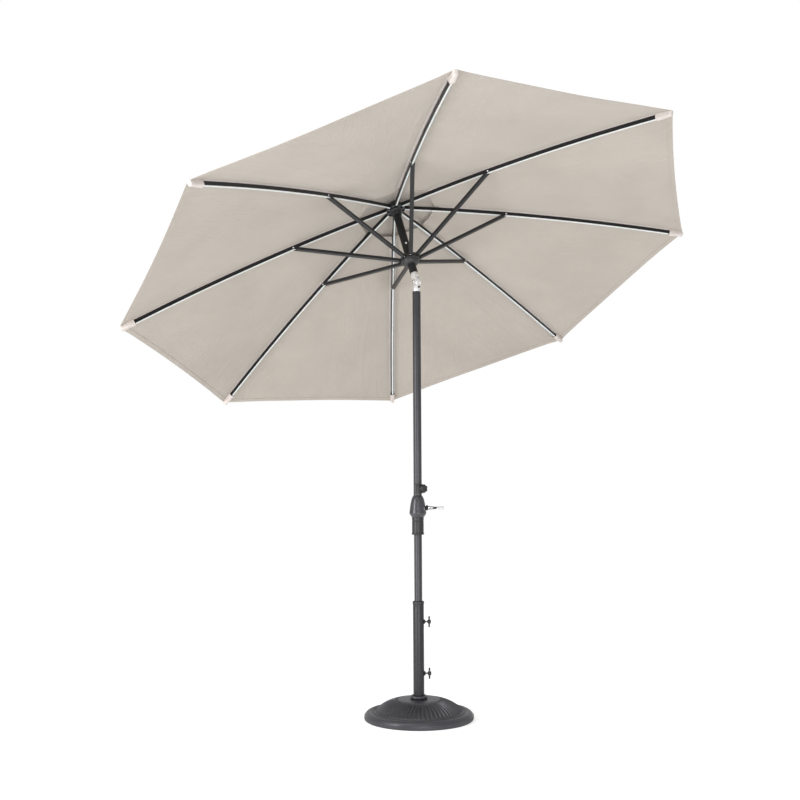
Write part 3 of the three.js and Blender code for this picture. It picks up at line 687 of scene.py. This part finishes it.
def makeCrank():
    place = at(z=crank["height"])
    face = mast["housing"] - 1.2
    armStart = mast["housing"] + 11
    armEnd = armStart + crank["sweep"] - 4
    flange = lathe("crankBearing", [(5.35, face - 8), (8.65, face - 8), (8.65, face), (11, face),
        (11, face + 1.8), (5.35, face + 1.8), (5.35, face - 8)], 64, 0.5)
    finished(moved(flange, place @ alongX), "mast", "mouldedBlack", "crank_bearing")
    coneStart, coneEnd = face + 2.15, armStart - 1.95
    cone = lathe("crankBoss", [(5.35, coneStart), (13.5, coneStart), (13.2, coneStart + 2),
        (9.5, coneEnd), (5.35, coneEnd), (5.35, coneStart)], 64, 0.9)
    finished(moved(cone, place @ alongX), "crank", "mouldedBlack", "crank_boss")
    shaft = rod("crankShaft", crank["shaft"], -22, armStart + 1, 48, 0.6)
    finished(moved(shaft, place @ alongX), "crank", "chromePlate", "crank_shaft")

    reach = hypot(crank["sweep"] - 4, crank["throw"])
    lean = Matrix.Rotation(-atan2(crank["throw"], crank["sweep"] - 4), 4, "Z")
    blade = slab("blade", [(0, -8), (reach - 4, -4.5), (reach, 0), (reach - 4, 4.5), (0, 8)], -1.5, 1.5,
        0.7, 3)
    window = slab("window", [(15, -4.4), (46, -1.6), (48, 0), (46, 1.6), (15, 4.4)], -5, 5, 0)
    carved(blade, window)
    upright = at(armStart) @ lean @ Matrix.Rotation(pi / 2, 4, "X")
    moved(blade, upright)
    eye = moved(pipe("eye", 5.35, crank["eye"], armStart - 1.6, armStart + 3, 64, 0.5), alongX)
    lug = moved(rod("lug", 5, armEnd - 3, armEnd + 1.5, 48, 0.5), at(y=-crank["throw"]) @ alongX)
    pin = moved(rod("pin", 2.6, armEnd, armEnd + crank["grip"] - 3, 24, 0.4),
        at(y=-crank["throw"]) @ alongX)
    arm = drilled(carved(blade, eye, "UNION"), 5.34, 20, armStart + 1.4, alongX)
    arm = merged("crankArm", arm, lug, pin)
    finished(moved(arm, place), "crank", "chromePlate", "crank_arm")
    cap = lathe("armCap", [(0, armEnd - 5.2), (3.4, armEnd - 5.2), (5.4, armEnd - 3.6),
        (5.4, armEnd - 3.1), (0, armEnd - 3.1)], 48, 0.6)
    finished(moved(cap, place @ at(y=-crank["throw"]) @ alongX), "crank", "mouldedBlack")

    start, long, r = armEnd + 1.85, crank["grip"], crank["gripRadius"]
    outline = flowing([(r - 1.6, start), (r - 0.5, start + 2), (r - 1.1, start + long * 0.35),
        (r - 0.3, start + long * 0.7), (r, start + long - 3.5), (r - 0.8, start + long - 1.2)], 5)
    grip = lathe("crankGrip", [(0, start + long - 4), (2.95, start + long - 4), (2.95, start), *outline,
        (4.2, start + long), (0, start + long)], 64, 0.4)
    finished(moved(grip, place @ at(y=-crank["throw"]) @ alongX), "grip", "paleGrip", "crank_grip")


makePoles()
makeHousing()
makeClamp()
makeCrank()
print("mast and crank made")

# the tilt joint, in a frame whose X is the tilt pin

pivot = Vector(joints["canopy_tilt"]["pos_m"])
mastAxis = Vector((0, 0, 1))
canopyAxis = Vector(joints["runner_slide"]["axis"]).normalized()
buttonWay = -Vector(joints["tilt_button_press"]["axis"]).normalized()
knuckle = {"radius": 17.5, "tongue": 8, "pin": 4, "drop": 30, "stub": 44, "buttonRadius": 5}


def framed(x, y, z, origin):
    place = Matrix((x, y, z)).transposed().to_4x4()
    return Matrix.Translation(origin) @ place


pinWay = buttonWay.cross(mastAxis).normalized()
lowerFrame = framed(pinWay, buttonWay, mastAxis, pivot)
upperFrame = framed(pinWay, canopyAxis.cross(pinWay), canopyAxis, pivot)


def makeKnuckles():
    r, half, stub = knuckle["radius"], knuckle["tongue"], knuckle["stub"]
    spigot = mast["upper"] - mast["wall"] - gap
    foot, shoulder = mast["top"] + gap - pivot.z / mm, -r - 3
    # the outline's length stands up and its thickness lies across
    sideways = Matrix(((0, 0, 1, 0), (0, 1, 0, 0), (1, 0, 0, 0), (0, 0, 0, 1)))
    neck = lathe("lowerKnuckle", [(0, foot - 34), (spigot, foot - 34), (spigot, foot), (r, foot),
        (r, shoulder), (0, shoulder)], 96, 1.0)
    tongue = moved(slab("tongue", stadium(shoulder - 3, 0, r - 1.5, 24), -half, half, 1.0, 3), sideways)
    turnedOut(tongue)
    carved(neck, tongue, "UNION")
    pinHole = knuckle["pin"] + gap
    drilled(neck, pinHole, -30, 30, alongX)
    drilled(neck, knuckle["buttonRadius"] + gap, 0, 30, at(z=-knuckle["drop"]) @ alongY)
    finished(moved(neck, lowerFrame), "mast", "turnedAlloy", "lower_knuckle")

    shoulder = r + 2
    neck = lathe("upperKnuckle", [(0, shoulder), (r, shoulder), (r, stub - gap), (spigot, stub - gap),
        (spigot, stub + 34), (0, stub + 34)], 96, 1.0)
    for low, high in ((half + 0.5, r), (-r, -half - 0.5)):
        cheek = moved(slab("cheek", stadium(0, shoulder + 3, r - 1.5, 24), low, high, 0.9, 3), sideways)
        turnedOut(cheek)
        carved(cheek, rod("round", r - 0.02, -30, stub, 96, 0), "INTERSECT")
        carved(neck, cheek, "UNION")
    drilled(neck, pinHole, -30, 30, alongX)
    finished(moved(neck, upperFrame), "head", "turnedAlloy", "upper_knuckle")

    out = r + gap
    dome = [(6.6, 0), (6.6, 0.7), (5.6, 1.8), (3.4, 2.5), (0, 2.7)]
    line = [(0, -out - 2.7), *[(a, -out - b) for a, b in dome[::-1][1:]], (4, -out), (4, out),
        *[(a, out + b) for a, b in dome]]
    rivet = moved(lathe("tiltRivet", line, 64, 0.4), lowerFrame @ alongX)
    finished(rivet, "mast", "chromePlate", "tilt_rivet", 38)
    b = knuckle["buttonRadius"]
    cap = lathe("tiltButton", [(0, 6), (b, 6), (b, r + 3.6), (b - 1, r + 4.7), (0, r + 5)], 48, 0.7)
    finished(moved(cap, lowerFrame @ at(z=-knuckle["drop"]) @ alongY), "button", "mouldedBlack",
        "tilt_button")


makeKnuckles()
print("tilt joint made")

# the canopy's frame, in head coordinates: the canopy's axis is Z, from the tilt pivot up

head = {
    "poleTop": 426, "hubHeight": 417, "runnerHeight": 124, "pivotRadius": 42, "wire": 1.6, "hub": 48,
    "runner": 46, "eyelet": 206, "pulley": 357, "slotRoom": 0.5,
}
ribs = {
    "count": 8, "length": 1392, "rootSlope": 13.3, "tipSlope": 20.7, "width": 12, "depth": 18,
    "wall": 1.3, "strutStation": 506, "strutDrop": 3, "strutDepth": 14, "strutWall": 1.8, "light": 8.0,
    "lightStart": 6, "lightEnd": 70,
}


def ribBay(k):
    # X out along the rib, Y across it and Z up the canopy's axis
    across = Vector(joints[f"rib_{k}_hinge"]["axis"]).normalized()
    return framed(across.cross(canopyAxis), across, canopyAxis, pivot)


bays = {k: ribBay(k) for k in range(1, ribs["count"] + 1)}
headFrame = bays[1]
bend = radians(ribs["tipSlope"] - ribs["rootSlope"]) / ribs["length"]
rootSlope = radians(ribs["rootSlope"])


def ribPoint(along, over=0.0):
    slope = rootSlope + bend * along
    x = head["pivotRadius"] + (sin(slope) - sin(rootSlope)) / bend + over * sin(slope)
    z = head["hubHeight"] + (cos(slope) - cos(rootSlope)) / bend + over * cos(slope)
    return x, z


def slots(radius, half, low, high):
    cutters = []
    for k in range(ribs["count"]):
        cutter = brick("slot", (head["pivotRadius"] - 12, -half, low), (radius + 20, half, high))
        cutters.append(moved(cutter, Matrix.Rotation(tau * k / ribs["count"], 4, "Z")))
    return merged("slots", *cutters)


def wireRing(name, height, body, node):
    line = circle(head["pivotRadius"], height, head["wire"], 12)
    finished(moved(lathe(name, line + line[:1], 128, 0), headFrame), body, "chromePlate", node, 70)


def makeHead():
    r = mast["upper"]
    bore = r - mast["wall"]
    stub = knuckle["stub"]
    pole = pipe("canopyPole", bore, r, stub, head["poleTop"], 96, 0.5)
    carved(pole, brick("slot", (0, -4, head["pulley"] - 34), (30, 4, head["pulley"] - 6)))
    finished(moved(pole, headFrame), "head", "ribPaint", "canopy_pole", 38)

    low, mid, roof = head["hubHeight"] - 40, head["hubHeight"], head["poleTop"] + gap
    wide, sleeve = head["hub"], r + gap
    line = [(sleeve, low), (sleeve + 4.2, low), (sleeve + 6, mid - 18), (sleeve + 9, mid - 13.5),
        (wide - 4, mid - 12.4), (wide, mid - 9), (wide, mid + 8), (wide - 4, mid + 12), (14, roof + 5),
        (5, roof + 5), (5, roof), (sleeve, roof), (sleeve, low)]
    hub = carved(lathe("topHub", line, 128, 1.0), slots(wide, ribs["width"] / 2 + head["slotRoom"],
        mid - 20, mid + 20))
    finished(moved(hub, headFrame), "head", "mouldedBlack", "top_hub")
    wireRing("hubRing", mid, "head", "hub_ring")

    rim, deck, wide, sleeve = head["runnerHeight"] - 13, head["runnerHeight"] + 12, head["runner"], r + 1
    bell = flowing([(sleeve + 3.6, rim - 20.6), (sleeve + 9.4, rim - 19), (wide - 11.5, rim - 14.4),
        (wide - 7, rim - 8), (wide - 4.2, rim - 0.6)], 5)
    line = [(sleeve, rim - 21), *bell, (wide - 3.6, rim + 1.2), (wide, rim + 2), (wide, deck - 3),
        (wide - 3, deck), (sleeve + 6, deck), (sleeve + 4, deck + 12), (sleeve, deck + 12),
        (sleeve, rim - 21)]
    strutHalf = ribs["width"] / 2 + 2 * head["slotRoom"] + ribs["strutWall"]
    cup = carved(lathe("runner", line, 128, 0.8), slots(wide, strutHalf, head["runnerHeight"] - 9,
        head["runnerHeight"] + 20))
    finished(moved(cup, headFrame), "slider", "mouldedBlack", "runner")
    wireRing("runnerRing", head["runnerHeight"], "slider", "runner_ring")

    grommet = lathe("cordEyelet", [(1.8, r - 2.4), (2.9, r - 2.4), (2.9, r + 0.3), (5.2, r + 0.3),
        (4.6, r + 1.4), (2.6, r + 1.7), (1.8, r + 1.0), (1.8, r - 2.4)], 48, 0.4)
    place = headFrame @ Matrix.Rotation(radians(-85 - 7.6), 4, "Z") @ at(z=head["eyelet"]) @ alongX
    finished(moved(grommet, place), "head", "turnedAlloy", "cord_eyelet")


def skinned(name, rings, caps=True):
    count = len(rings[0])
    points = [p for ring in rings for p in ring]
    faces = []
    for i in range(len(rings) - 1):
        for j in range(count):
            a, b = i * count + j, i * count + (j + 1) % count
            faces.append((a, b, b + count, a + count))
    if caps:
        faces += [tuple(range(count))[::-1], tuple(range(len(points) - count, len(points)))]
    return turnedOut(newPiece(name, points, faces))


def acrossRib(section, along):
    # a section of [across, over] points stood on the rib at one station
    return inMetres((x, y, z) for y, over in section for x, z in [ribPoint(along, over)])


def alongRib(section, stations):
    return [acrossRib(section, along) for along in stations]


def makeRib():
    side, up, wall = ribs["width"] / 2, ribs["depth"] / 2, ribs["wall"]
    inside, soft = side - wall, 1.4
    section = [(-side, -up), (-inside, -up), (-inside, up - wall), (inside, up - wall), (inside, -up),
        (side, -up)]
    section += [(side, up - soft), (side - soft * 0.3, up - soft * 0.3), (side - soft, up)]
    section += [(-side + soft, up), (-side + soft * 0.3, up - soft * 0.3), (-side, up - soft)]
    return skinned("rib", alongRib(section, np.linspace(-8, ribs["length"] - 6, 40)))


def makeLightStrip():
    half, up = ribs["light"] / 2, ribs["depth"] / 2
    section = [(-half, -up + 1.4), (-half, -up - 1.0), (-half + 0.5, -up - 1.9),
        (-half + 1.6, -up - 2.3), (0, -up - 2.5), (half - 1.6, -up - 2.3), (half - 0.5, -up - 1.9),
        (half, -up - 1.0), (half, -up + 1.4)]
    return skinned("light", alongRib(section, np.linspace(ribs["lightStart"],
        ribs["length"] - ribs["lightEnd"], 40)))


strutOuter = ribs["width"] / 2 + head["slotRoom"] + ribs["strutWall"]
strutEnd = ribPoint(ribs["strutStation"], -ribs["strutDrop"])
strutLength = hypot(strutEnd[0] - head["pivotRadius"], strutEnd[1] - head["runnerHeight"])
strutRise = atan2(strutEnd[1] - head["runnerHeight"], strutEnd[0] - head["pivotRadius"])
strutFrame = at(x=head["pivotRadius"], z=head["runnerHeight"]) @ Matrix.Rotation(-strutRise, 4, "Y")


def makeStrut():
    up, wall, outer = ribs["strutDepth"] / 2, ribs["strutWall"], strutOuter
    upright = Matrix.Rotation(pi / 2, 4, "X")
    cheek = stadium(0, strutLength, up, 16)
    left = moved(slab("strut", cheek, outer - wall, outer, 0.45, 2), upright)
    right = moved(slab("right", cheek, -outer, wall - outer, 0.45, 2), upright)
    web = brick("web", (10, -outer + wall / 2, -up), (strutLength - 16, outer - wall / 2, -up + wall),
        0)
    carved(left, web, "UNION")
    carved(left, right, "UNION")
    return moved(drilled(left, 3.2, -20, 20, alongY, 32), strutFrame)


def makeSpokes():
    rib, light, strut = makeRib(), makeLightStrip(), makeStrut()
    outer = strutOuter * mm
    pinHead = 0.9 * mm
    endPoint = Vector((strutEnd[0], 0, strutEnd[1])) * mm
    for k, bay in bays.items():
        for pattern, name, body, finish, node in (
            (rib, f"rib_{k}_channel", f"rib_{k}_arm", "ribPaint", f"rib_{k}"),
            (light, f"rib_{k}_light", f"rib_{k}_arm", "lightLens", None),
            (strut, f"strut_{k}_fork", f"strut_{k}_arm", "strutPaint", f"strut_{k}"),
        ):
            finished(moved(linked(name, pattern.data.copy()), bay), body, finish, node)
        turn = bay.to_3x3()
        spots = [(bay @ (endPoint + Vector((0, way * (outer + pinHead * 0.2), 0))),
            turn @ Vector((0, way, 0))) for way in (-1, 1)]
        heads = riveted(f"strut_{k}_rivets", spots, 4.0, 1.7)
        pin = rod("pin", 2.3, -outer / mm, outer / mm, 24, 0)
        moved(pin, bay @ at(x=strutEnd[0], z=strutEnd[1]) @ alongY)
        finished(merged(f"strut_{k}_rivet", heads, pin), f"strut_{k}_arm", "turnedAlloy")
        plug = alongRib([(-4.4, -8.6), (4.4, -8.6), (4.4, 7.4), (-4.4, 7.4)],
            (ribs["length"] - 58, ribs["length"] - 5.2))
        finished(moved(skinned(f"rib_{k}_plug", plug), bay), f"rib_{k}_arm", "mouldedBlack")
    for pattern in (rib, light, strut):
        bpy.data.objects.remove(pattern)


makeHead()
makeSpokes()
print("canopy frame made")

# the cover: eight bays, each from the middle of one panel to the middle of the next

cover = {
    "vent": 195, "cap": 262, "lift": 10.5, "thick": 1.1, "hemCurve": 14, "sag": 13, "rows": 84,
    "hem": 24, "ventHem": 16, "tape": 17, "seam": 6.5, "pull": 2.4, "keep": 0.9785,
}
halfBay = pi / ribs["count"]
coverStart = (cover["vent"] - head["pivotRadius"]) / cos(rootSlope)


def coverFinish():
    # a plain weave with slubs, on the cloth's own UV in metres
    made = surface("canopyCloth", "canopy_cloth", (0.36, 0.325, 0.286), (0.425, 0.388, 0.343),
        (0.82, 0.95), 0.0, 3.2, 420, 0.12, Sheen_Weight=0.12)
    tree = made.node_tree
    shader = tree.nodes["Principled BSDF"]
    shader.inputs["Specular IOR Level"].default_value = 0.25
    flat = nodeOf(tree, "ShaderNodeUVMap", uv_map="clothUv")
    last = [n for n in tree.nodes if n.type == "BUMP"][0]
    for way, pitch in (("X", 560), ("Y", 520)):
        threads = nodeOf(tree, "ShaderNodeTexWave", bands_direction=way, Scale=pitch, Distortion=1.2,
            Detail=1)
        rise = nodeOf(tree, "ShaderNodeBump", Strength=0.16, Distance=0.0004)
        wired(tree, (flat, 0, threads, "Vector"), (threads, "Fac", rise, "Height"),
            (last, 0, rise, "Normal"))
        last = rise
    slubs = nodeOf(tree, "ShaderNodeTexNoise", Scale=55, Detail=3)
    long = nodeOf(tree, "ShaderNodeMapping", Scale=(1, 14, 1))
    wired(tree, (flat, 0, long, "Vector"), (long, 0, slubs, "Vector"))
    rise = nodeOf(tree, "ShaderNodeBump", Strength=0.12, Distance=0.0007)
    wired(tree, (slubs, "Fac", rise, "Height"), (last, 0, rise, "Normal"))
    last = rise
    for scale, reach, squeeze in ((5, 0.0016, (1, 0.22, 1)), (13, 0.0008, (1.5, 0.3, 1))):
        # creases: a thin ridge wherever a warped noise passes its middle value
        place = nodeOf(tree, "ShaderNodeMapping", Scale=squeeze, Rotation=(0, 0, 0.5))
        field = nodeOf(tree, "ShaderNodeTexNoise", Scale=scale, Detail=1.5, Distortion=0.35)
        away = nodeOf(tree, "ShaderNodeMath", operation="SUBTRACT")
        away.inputs[1].default_value = 0.52
        size = nodeOf(tree, "ShaderNodeMath", operation="ABSOLUTE")
        ridge = nodeOf(tree, "ShaderNodeMapRange", interpolation_type="SMOOTHSTEP", From_Max=0.05,
            To_Min=1, To_Max=0)
        rise = nodeOf(tree, "ShaderNodeBump", Strength=0.5, Distance=reach)
        wired(tree, (flat, 0, place, "Vector"), (place, 0, field, "Vector"), (field, "Fac", away, 0),
            (away, 0, size, 0), (size, 0, ridge, "Value"), (ridge, "Result", rise, "Height"),
            (last, 0, rise, "Normal"))
        last = rise
    wired(tree, (last, 0, shader, "Normal"))


coverFinish()


def panelShift(panel, u, v):
    # how far the panel stands off its straight chords, in mm up the axis
    # u runs across the panel and v from vent to hem
    chord = sin(pi * u) ** 2
    sag = -cover["sag"] * chord * sin(pi * min(1, 0.12 + 0.8 * v))
    fall = 0.0
    for end, side in ((u, 0), (1 - u, 1)):
        near = exp(-((end * 3.2) ** 2))
        phase = 1.7 * panel + 2.1 * side
        fall += near * sin(17 * v + 5.5 * end + phase) * exp(-6 * (1 - v)) * min(1, end * 14)
        fall += 0.8 * near * sin(26 * end + 3 * v + phase * 2) * exp(-5 * v) * min(1, end * 14)
    drift = sin(4.2 * v + 2.3 * panel) * sin(2 * pi * u + panel) * chord
    return sag + cover["pull"] * (fall + 0.9 * drift)


def coverPoint(k, along, share, over=0.0):
    # a point on the underside of bay k, in mm in the bay's own frame
    # share runs from -1 to 1 across the rib
    edge = cover["hemCurve"] * (along / ribs["length"]) ** 8 * abs(share) * (2 - abs(share))
    x, z = ribPoint(along - edge, cover["lift"])
    width = x * cos(halfBay) * sin(halfBay) * share
    inward = x * sin(halfBay) ** 2 * abs(share)
    panel, u = (k, share / 2) if share >= 0 else ((k - 2) % ribs["count"] + 1, 1 + share / 2)
    v = (along - coverStart) / (ribs["length"] - coverStart)
    return Vector((x - inward, width, z + over + panelShift(panel, u, v)))


def coverNormal(k, along, share):
    step, tiny = 2.0, 0.004
    shareStep = -tiny if share > 0.5 else tiny
    down = coverPoint(k, along + step, share) - coverPoint(k, along - step, share)
    if abs(share) < 1e-6:
        out = coverPoint(k, along, tiny) - coverPoint(k, along, -tiny)
    else:
        out = (coverPoint(k, along, share + shareStep) - coverPoint(k, along,
            share)) * (1 if shareStep > 0 else -1)
    return down.cross(out).normalized()


def clothSheet(name, k, alongs, shares, low, high, finish="canopyCloth"):
    # a sheet that follows the cover
    # low and high are how far its two faces stand over the cover's underside, in mm
    rows, columns = len(alongs), len(shares)
    points, normals, flats = [], [], []
    for over, face in ((low, -1), (high, 1)):
        for along in alongs:
            for share in shares:
                s = share(along) if callable(share) else share
                points.append(coverPoint(k, along, s, over) * mm)
                normals.append(coverNormal(k, along, s) * face)
                x = ribPoint(along)[0]
                flats.append((x * sin(halfBay) * s * mm, along * mm))
    layer = rows * columns
    faces = []
    for i in range(rows - 1):
        for j in range(columns - 1):
            a = i * columns + j
            faces.append((a, a + 1, a + columns + 1, a + columns))
            faces.append(tuple(layer + q for q in (a, a + columns, a + columns + 1, a + 1)))
    skin = len(faces)
    around = [j for j in range(columns)] + [i * columns + columns - 1 for i in range(1, rows)]
    around += [(rows - 1) * columns + j for j in range(columns - 2, -1,
        -1)] + [i * columns for i in range(rows - 2, 0, -1)]
    for a, b in zip(around, around[1:] + around[:1]):
        faces.append((b, a, layer + a, layer + b))
    mesh = bpy.data.meshes.new(name)
    mesh.from_pydata(points, [], faces)
    corner = mapped(mesh, "clothUv", flats)
    turn = bays[k].to_3x3()
    mesh.transform(bays[k])
    mesh.shade_smooth()
    custom = [None] * len(mesh.loops)
    for number, face in enumerate(mesh.polygons):
        for loop in face.loop_indices:
            custom[loop] = face.normal.copy() if number >= skin else turn @ normals[corner[loop]]
    mesh.normals_split_custom_set(custom)
    mesh.materials.append(finishes[finish])
    return linked(name, mesh)


def widthShare(distance):
    return lambda along: distance / (ribPoint(along)[0] * cos(halfBay) * sin(halfBay))


def makePocket(k):
    # a sewn sleeve that closes over the rib's end
    length = ribs["length"]

    def outline(half, low):
        ring = []
        for a in np.linspace(pi, 2 * pi, 15):
            shape = abs(cos(a)) ** 0.5 * (1 if cos(a) > 0 else -1)
            ring.append((half * shape, cover["lift"] - 0.4 + (low
                - cover["lift"]) * abs(sin(a)) ** 0.5))
        return ring

    rings = []
    for t in np.linspace(0, 1, 12):
        along = length - 68 + 66 * t
        pinch = 0.8 * sin(9 * t + k)
        outer = outline(13.2 - 3.4 * t + pinch * (1 - t), -14.2 + 2.2 * t + 0.4 * pinch)
        inner = outline(12.4 - 3.4 * t + pinch * (1 - t), -13.4 + 2.2 * t + 0.4 * pinch)
        rings.append(acrossRib(outer + inner[::-1], along))
    ends = [acrossRib(outline(half, low), length + past) for past, half,
        low in ((-2.6, 9.9, -12.2), (-0.6, 9.2, -11), (0.8, 6, -7.5))]
    return moved(merged(f"pocket_{k}", skinned(f"pocket_{k}", rings), skinned("flap", ends)), bays[k])


def makeCover():
    length, thick = ribs["length"], cover["thick"]
    alongs = np.linspace(coverStart, length, cover["rows"])
    half = [0, 0.008, 0.022, 0.05, 0.09, 0.15, 0.23, 0.33, 0.44, 0.56, 0.67, 0.78, 0.86, 0.93, 1.0]
    shares = [-s for s in half[:0:-1]] + half
    for k, bay in bays.items():
        cloth = clothSheet(f"cover_{k}", k, alongs, shares, 0, thick)
        hem = clothSheet(f"hem_{k}", k, np.linspace(length - cover["hem"], length + 0.6, 5), shares,
            -1.3, -0.05)
        brim = clothSheet(f"ventHem_{k}", k, np.linspace(coverStart - 0.6,
            coverStart + cover["ventHem"], 4), shares, -1.2, -0.05)
        tapeShares = [widthShare(w) for w in (-cover["tape"], -9, -6, 0, 6, 9, cover["tape"])]
        tape = clothSheet(f"ribTape_{k}", k, np.linspace(coverStart + 20, length - 62, 60), tapeShares,
            -1.0, -0.05, "pocketWeb")
        seamShares = [widthShare(w) for w in (-cover["seam"], -3, 0, 3, cover["seam"])]
        seam = clothSheet(f"seam_{k}", k, np.linspace(coverStart + 2, length - 2, 60), seamShares,
            thick + 0.05, thick + 0.9)
        pocket = makePocket(k)
        painted(pocket, "pocketWeb", 50)

        def line(shareOf, runs, over):
            return [bay @ (coverPoint(k, a, shareOf(a), over) * mm) for a in runs]

        def cross(along, over):
            return [bay @ (coverPoint(k, along, s, over) * mm) for s in np.linspace(-1, 1, 60)]

        runs = np.linspace(coverStart + 4, length - 4, 70)
        rows = [line(widthShare(w), runs, thick + 1.15) for w in (-4.6, 4.6)]
        rows += [line(widthShare(w), np.linspace(coverStart + 22, length - 64, 70),
            -1.25) for w in (-14, 14)]
        rows += [cross(length - cover["hem"] + 3, over) for over in (-1.5, thick + 0.2)]
        rows += [cross(coverStart + cover["ventHem"] - 3, over) for over in (-1.4, thick + 0.2)]
        thread = stitched(f"stitches_{k}", rows)
        for piece in (cloth, hem, brim, tape, seam, pocket, thread):
            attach(piece, f"rib_{k}_arm")
        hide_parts(f"gore_{k}")
        for piece in (cloth, hem, brim, thread):
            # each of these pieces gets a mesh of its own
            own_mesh(piece)


def makeVentCap():
    # an eight-sided cap over the vent, loose at its rim, in one piece
    inner, outer, thick = 24, cover["cap"], cover["thick"]
    rise = head["hubHeight"] + ribs["depth"] / 2 + 26
    slope = tan(rootSlope)
    sectors, across, rows = ribs["count"], 16, 26

    def capPoint(turn, r, over):
        part = turn * sectors / tau
        u = part % 1
        chord = cos(halfBay) / cos((u - 0.5) * 2 * halfBay)
        reach = r - 13 * ((r - inner) / (outer - inner)) ** 5 * sin(pi * u) ** 1.4
        drop = (r - inner) * slope * (1 + (r - inner) * 0.0003)
        sag = 5 * sin(pi * u) ** 2 * sin(pi * (r - inner) / (outer - inner) * 0.85)
        flare = 1.2 * sin(3 * tau * u + 2.2 * floor(part)) * ((r - inner) / (outer
            - inner)) ** 3 * sin(pi * u)
        return (reach * chord * cos(turn), reach * chord * sin(turn), rise - drop - sag + flare + over)

    def ringOf(r, over):
        return inMetres(capPoint(t, r, over) for t in turns)

    turns = [tau * i / (sectors * across) for i in range(sectors * across)]
    radii = list(inner + (outer - inner) * np.linspace(0, 1, rows))
    rings = [ringOf(r, 0) for r in radii] + [ringOf(r, thick) for r in radii[::-1]]
    cap = skinned("ventCap", rings + rings[:1], False)
    mapped(cap.data, "clothUv", [v.co[:2] for v in cap.data.vertices])
    moved(cap, headFrame)
    hemLines, seamLines = [], []
    for over in (-0.5, thick + 0.2):
        ring = [headFrame @ (Vector(capPoint(t, outer - 15, over)) * mm) for t in turns]
        hemLines.append(ring + ring[:1])
    for k in range(sectors):
        for shift in (-4, 4):
            seamLines.append([headFrame @ (Vector(capPoint((tau * k / sectors + atan2(shift, r)) % tau,
                r, thick + 0.25)) * mm) for r in np.linspace(inner + 50, outer - 3, 30)])
    thread = stitched("ventCapStitches", hemLines + seamLines)
    band = [ringOf(r, over) for r, over in ((outer - 18, -0.05), (outer + 0.4, -0.05),
        (outer + 0.4, -1.1), (outer - 18, -1.1))]
    hem = moved(skinned("ventCapHem", band + band[:1], False), headFrame)
    finished(cap, "head", "canopyCloth", "vent_cap", 60)
    finished(hem, "head", "pocketWeb", None, 50)
    finished(thread, "head", "seamThread", None, 40)


makeCover()
makeVentCap()
print("cover made")

# the power cap with its solar panel

power = {"bottom": 467, "radius": 72, "height": 44, "neck": 13}


def panelFinish():
    made = surface("solarCells", "panel_glass", (0.004, 0.008, 0.03), (0.01, 0.018, 0.06), (0.08, 0.16),
        0.0, 30, 500, 0.02, Coat_Weight=0.8)
    tree = made.node_tree
    flat = nodeOf(tree, "ShaderNodeUVMap", uv_map="panelUv")
    cells = nodeOf(tree, "ShaderNodeTexBrick", offset=0.0, Scale=1, Brick_Width=0.026, Row_Height=0.026,
        Mortar_Size=0.0007, Mortar_Smooth=0.1, Mortar=(0.32, 0.33, 0.36, 1))
    ramp = [n for n in tree.nodes if n.type == "VALTORGB"][0]
    wired(tree, (flat, 0, cells, "Vector"))
    for label in ("Color1", "Color2"):
        wired(tree, (ramp, "Color", cells, label))
    tree.links.new(cells.outputs["Color"], tree.nodes["Principled BSDF"].inputs["Base Color"])


def makePowerCap():
    panelFinish()
    low, r, roof = power["bottom"], power["radius"], power["bottom"] + power["height"]
    foot = head["poleTop"] + gap + 5.4
    side = flowing([(r - 10, low + 4), (r - 3, low + 8), (r, low + 15), (r - 1.5, low + 26),
        (r - 5.5, roof - 7), (r - 9, roof - 2.4), (r - 12, roof)], 5)
    line = [(0, foot), (power["neck"], foot), (power["neck"], low - 4), (power["neck"] + 6, low), *side,
        (r - 14, roof), (r - 14, roof - 4), (0, roof - 4)]
    finished(moved(lathe("powerCap", line, 128, 0.8), headFrame), "head", "mouldedBlack", "power_cap")
    top = roof - 4 + gap
    wide = r - 14.7
    glass = rod("solarPanel", wide, top, top + 2.5, 128, 0.5)
    mapped(glass.data, "panelUv", [v.co[:2] for v in glass.data.vertices])
    finished(moved(glass, headFrame), "head", "solarCells", "solar_panel")
    gasket = lathe("capGasket", [(r - 3.4, low + 18), (r + 0.5, low + 18.4), (r + 0.5, low + 20.4),
        (r - 3.4, low + 20.8), (r - 3.4, low + 18)], 128, 0.5)
    finished(moved(gasket, headFrame), "head", "rubberBlack")


makePowerCap()

# the CAD pieces that stay as they are get the same finishes
for node in ("pole_foot_plug", "clamp_stud", "cord_spool", "cord_pulley"):
    mesh = frame["nodes"][node].data
    mesh.materials.clear()
    mesh.materials.append(finishes["chromePlate" if node == "clamp_stud" else "mouldedBlack"])

# the floor


def makeFloor():
    wide = studio["floorSize"] / 2
    ground = newPiece("floor", [(-wide, -wide, 0), (wide, -wide, 0), (wide, wide, 0), (-wide, wide, 0)],
        [(0, 1, 2, 3)])
    grey = studio["floorGrey"]
    made = surface("floorPaper", None, (grey - 0.01,) * 3, (grey,) * 3, (0.85, 0.95), 0.0, 0.5, 60, 0.0,
        Emission_Strength=studio["floorGlow"])
    made.node_tree.nodes["Principled BSDF"].inputs["Emission Color"].default_value = (1, 1, 1, 1)
    ground.data.materials.append(made)


makeFloor()
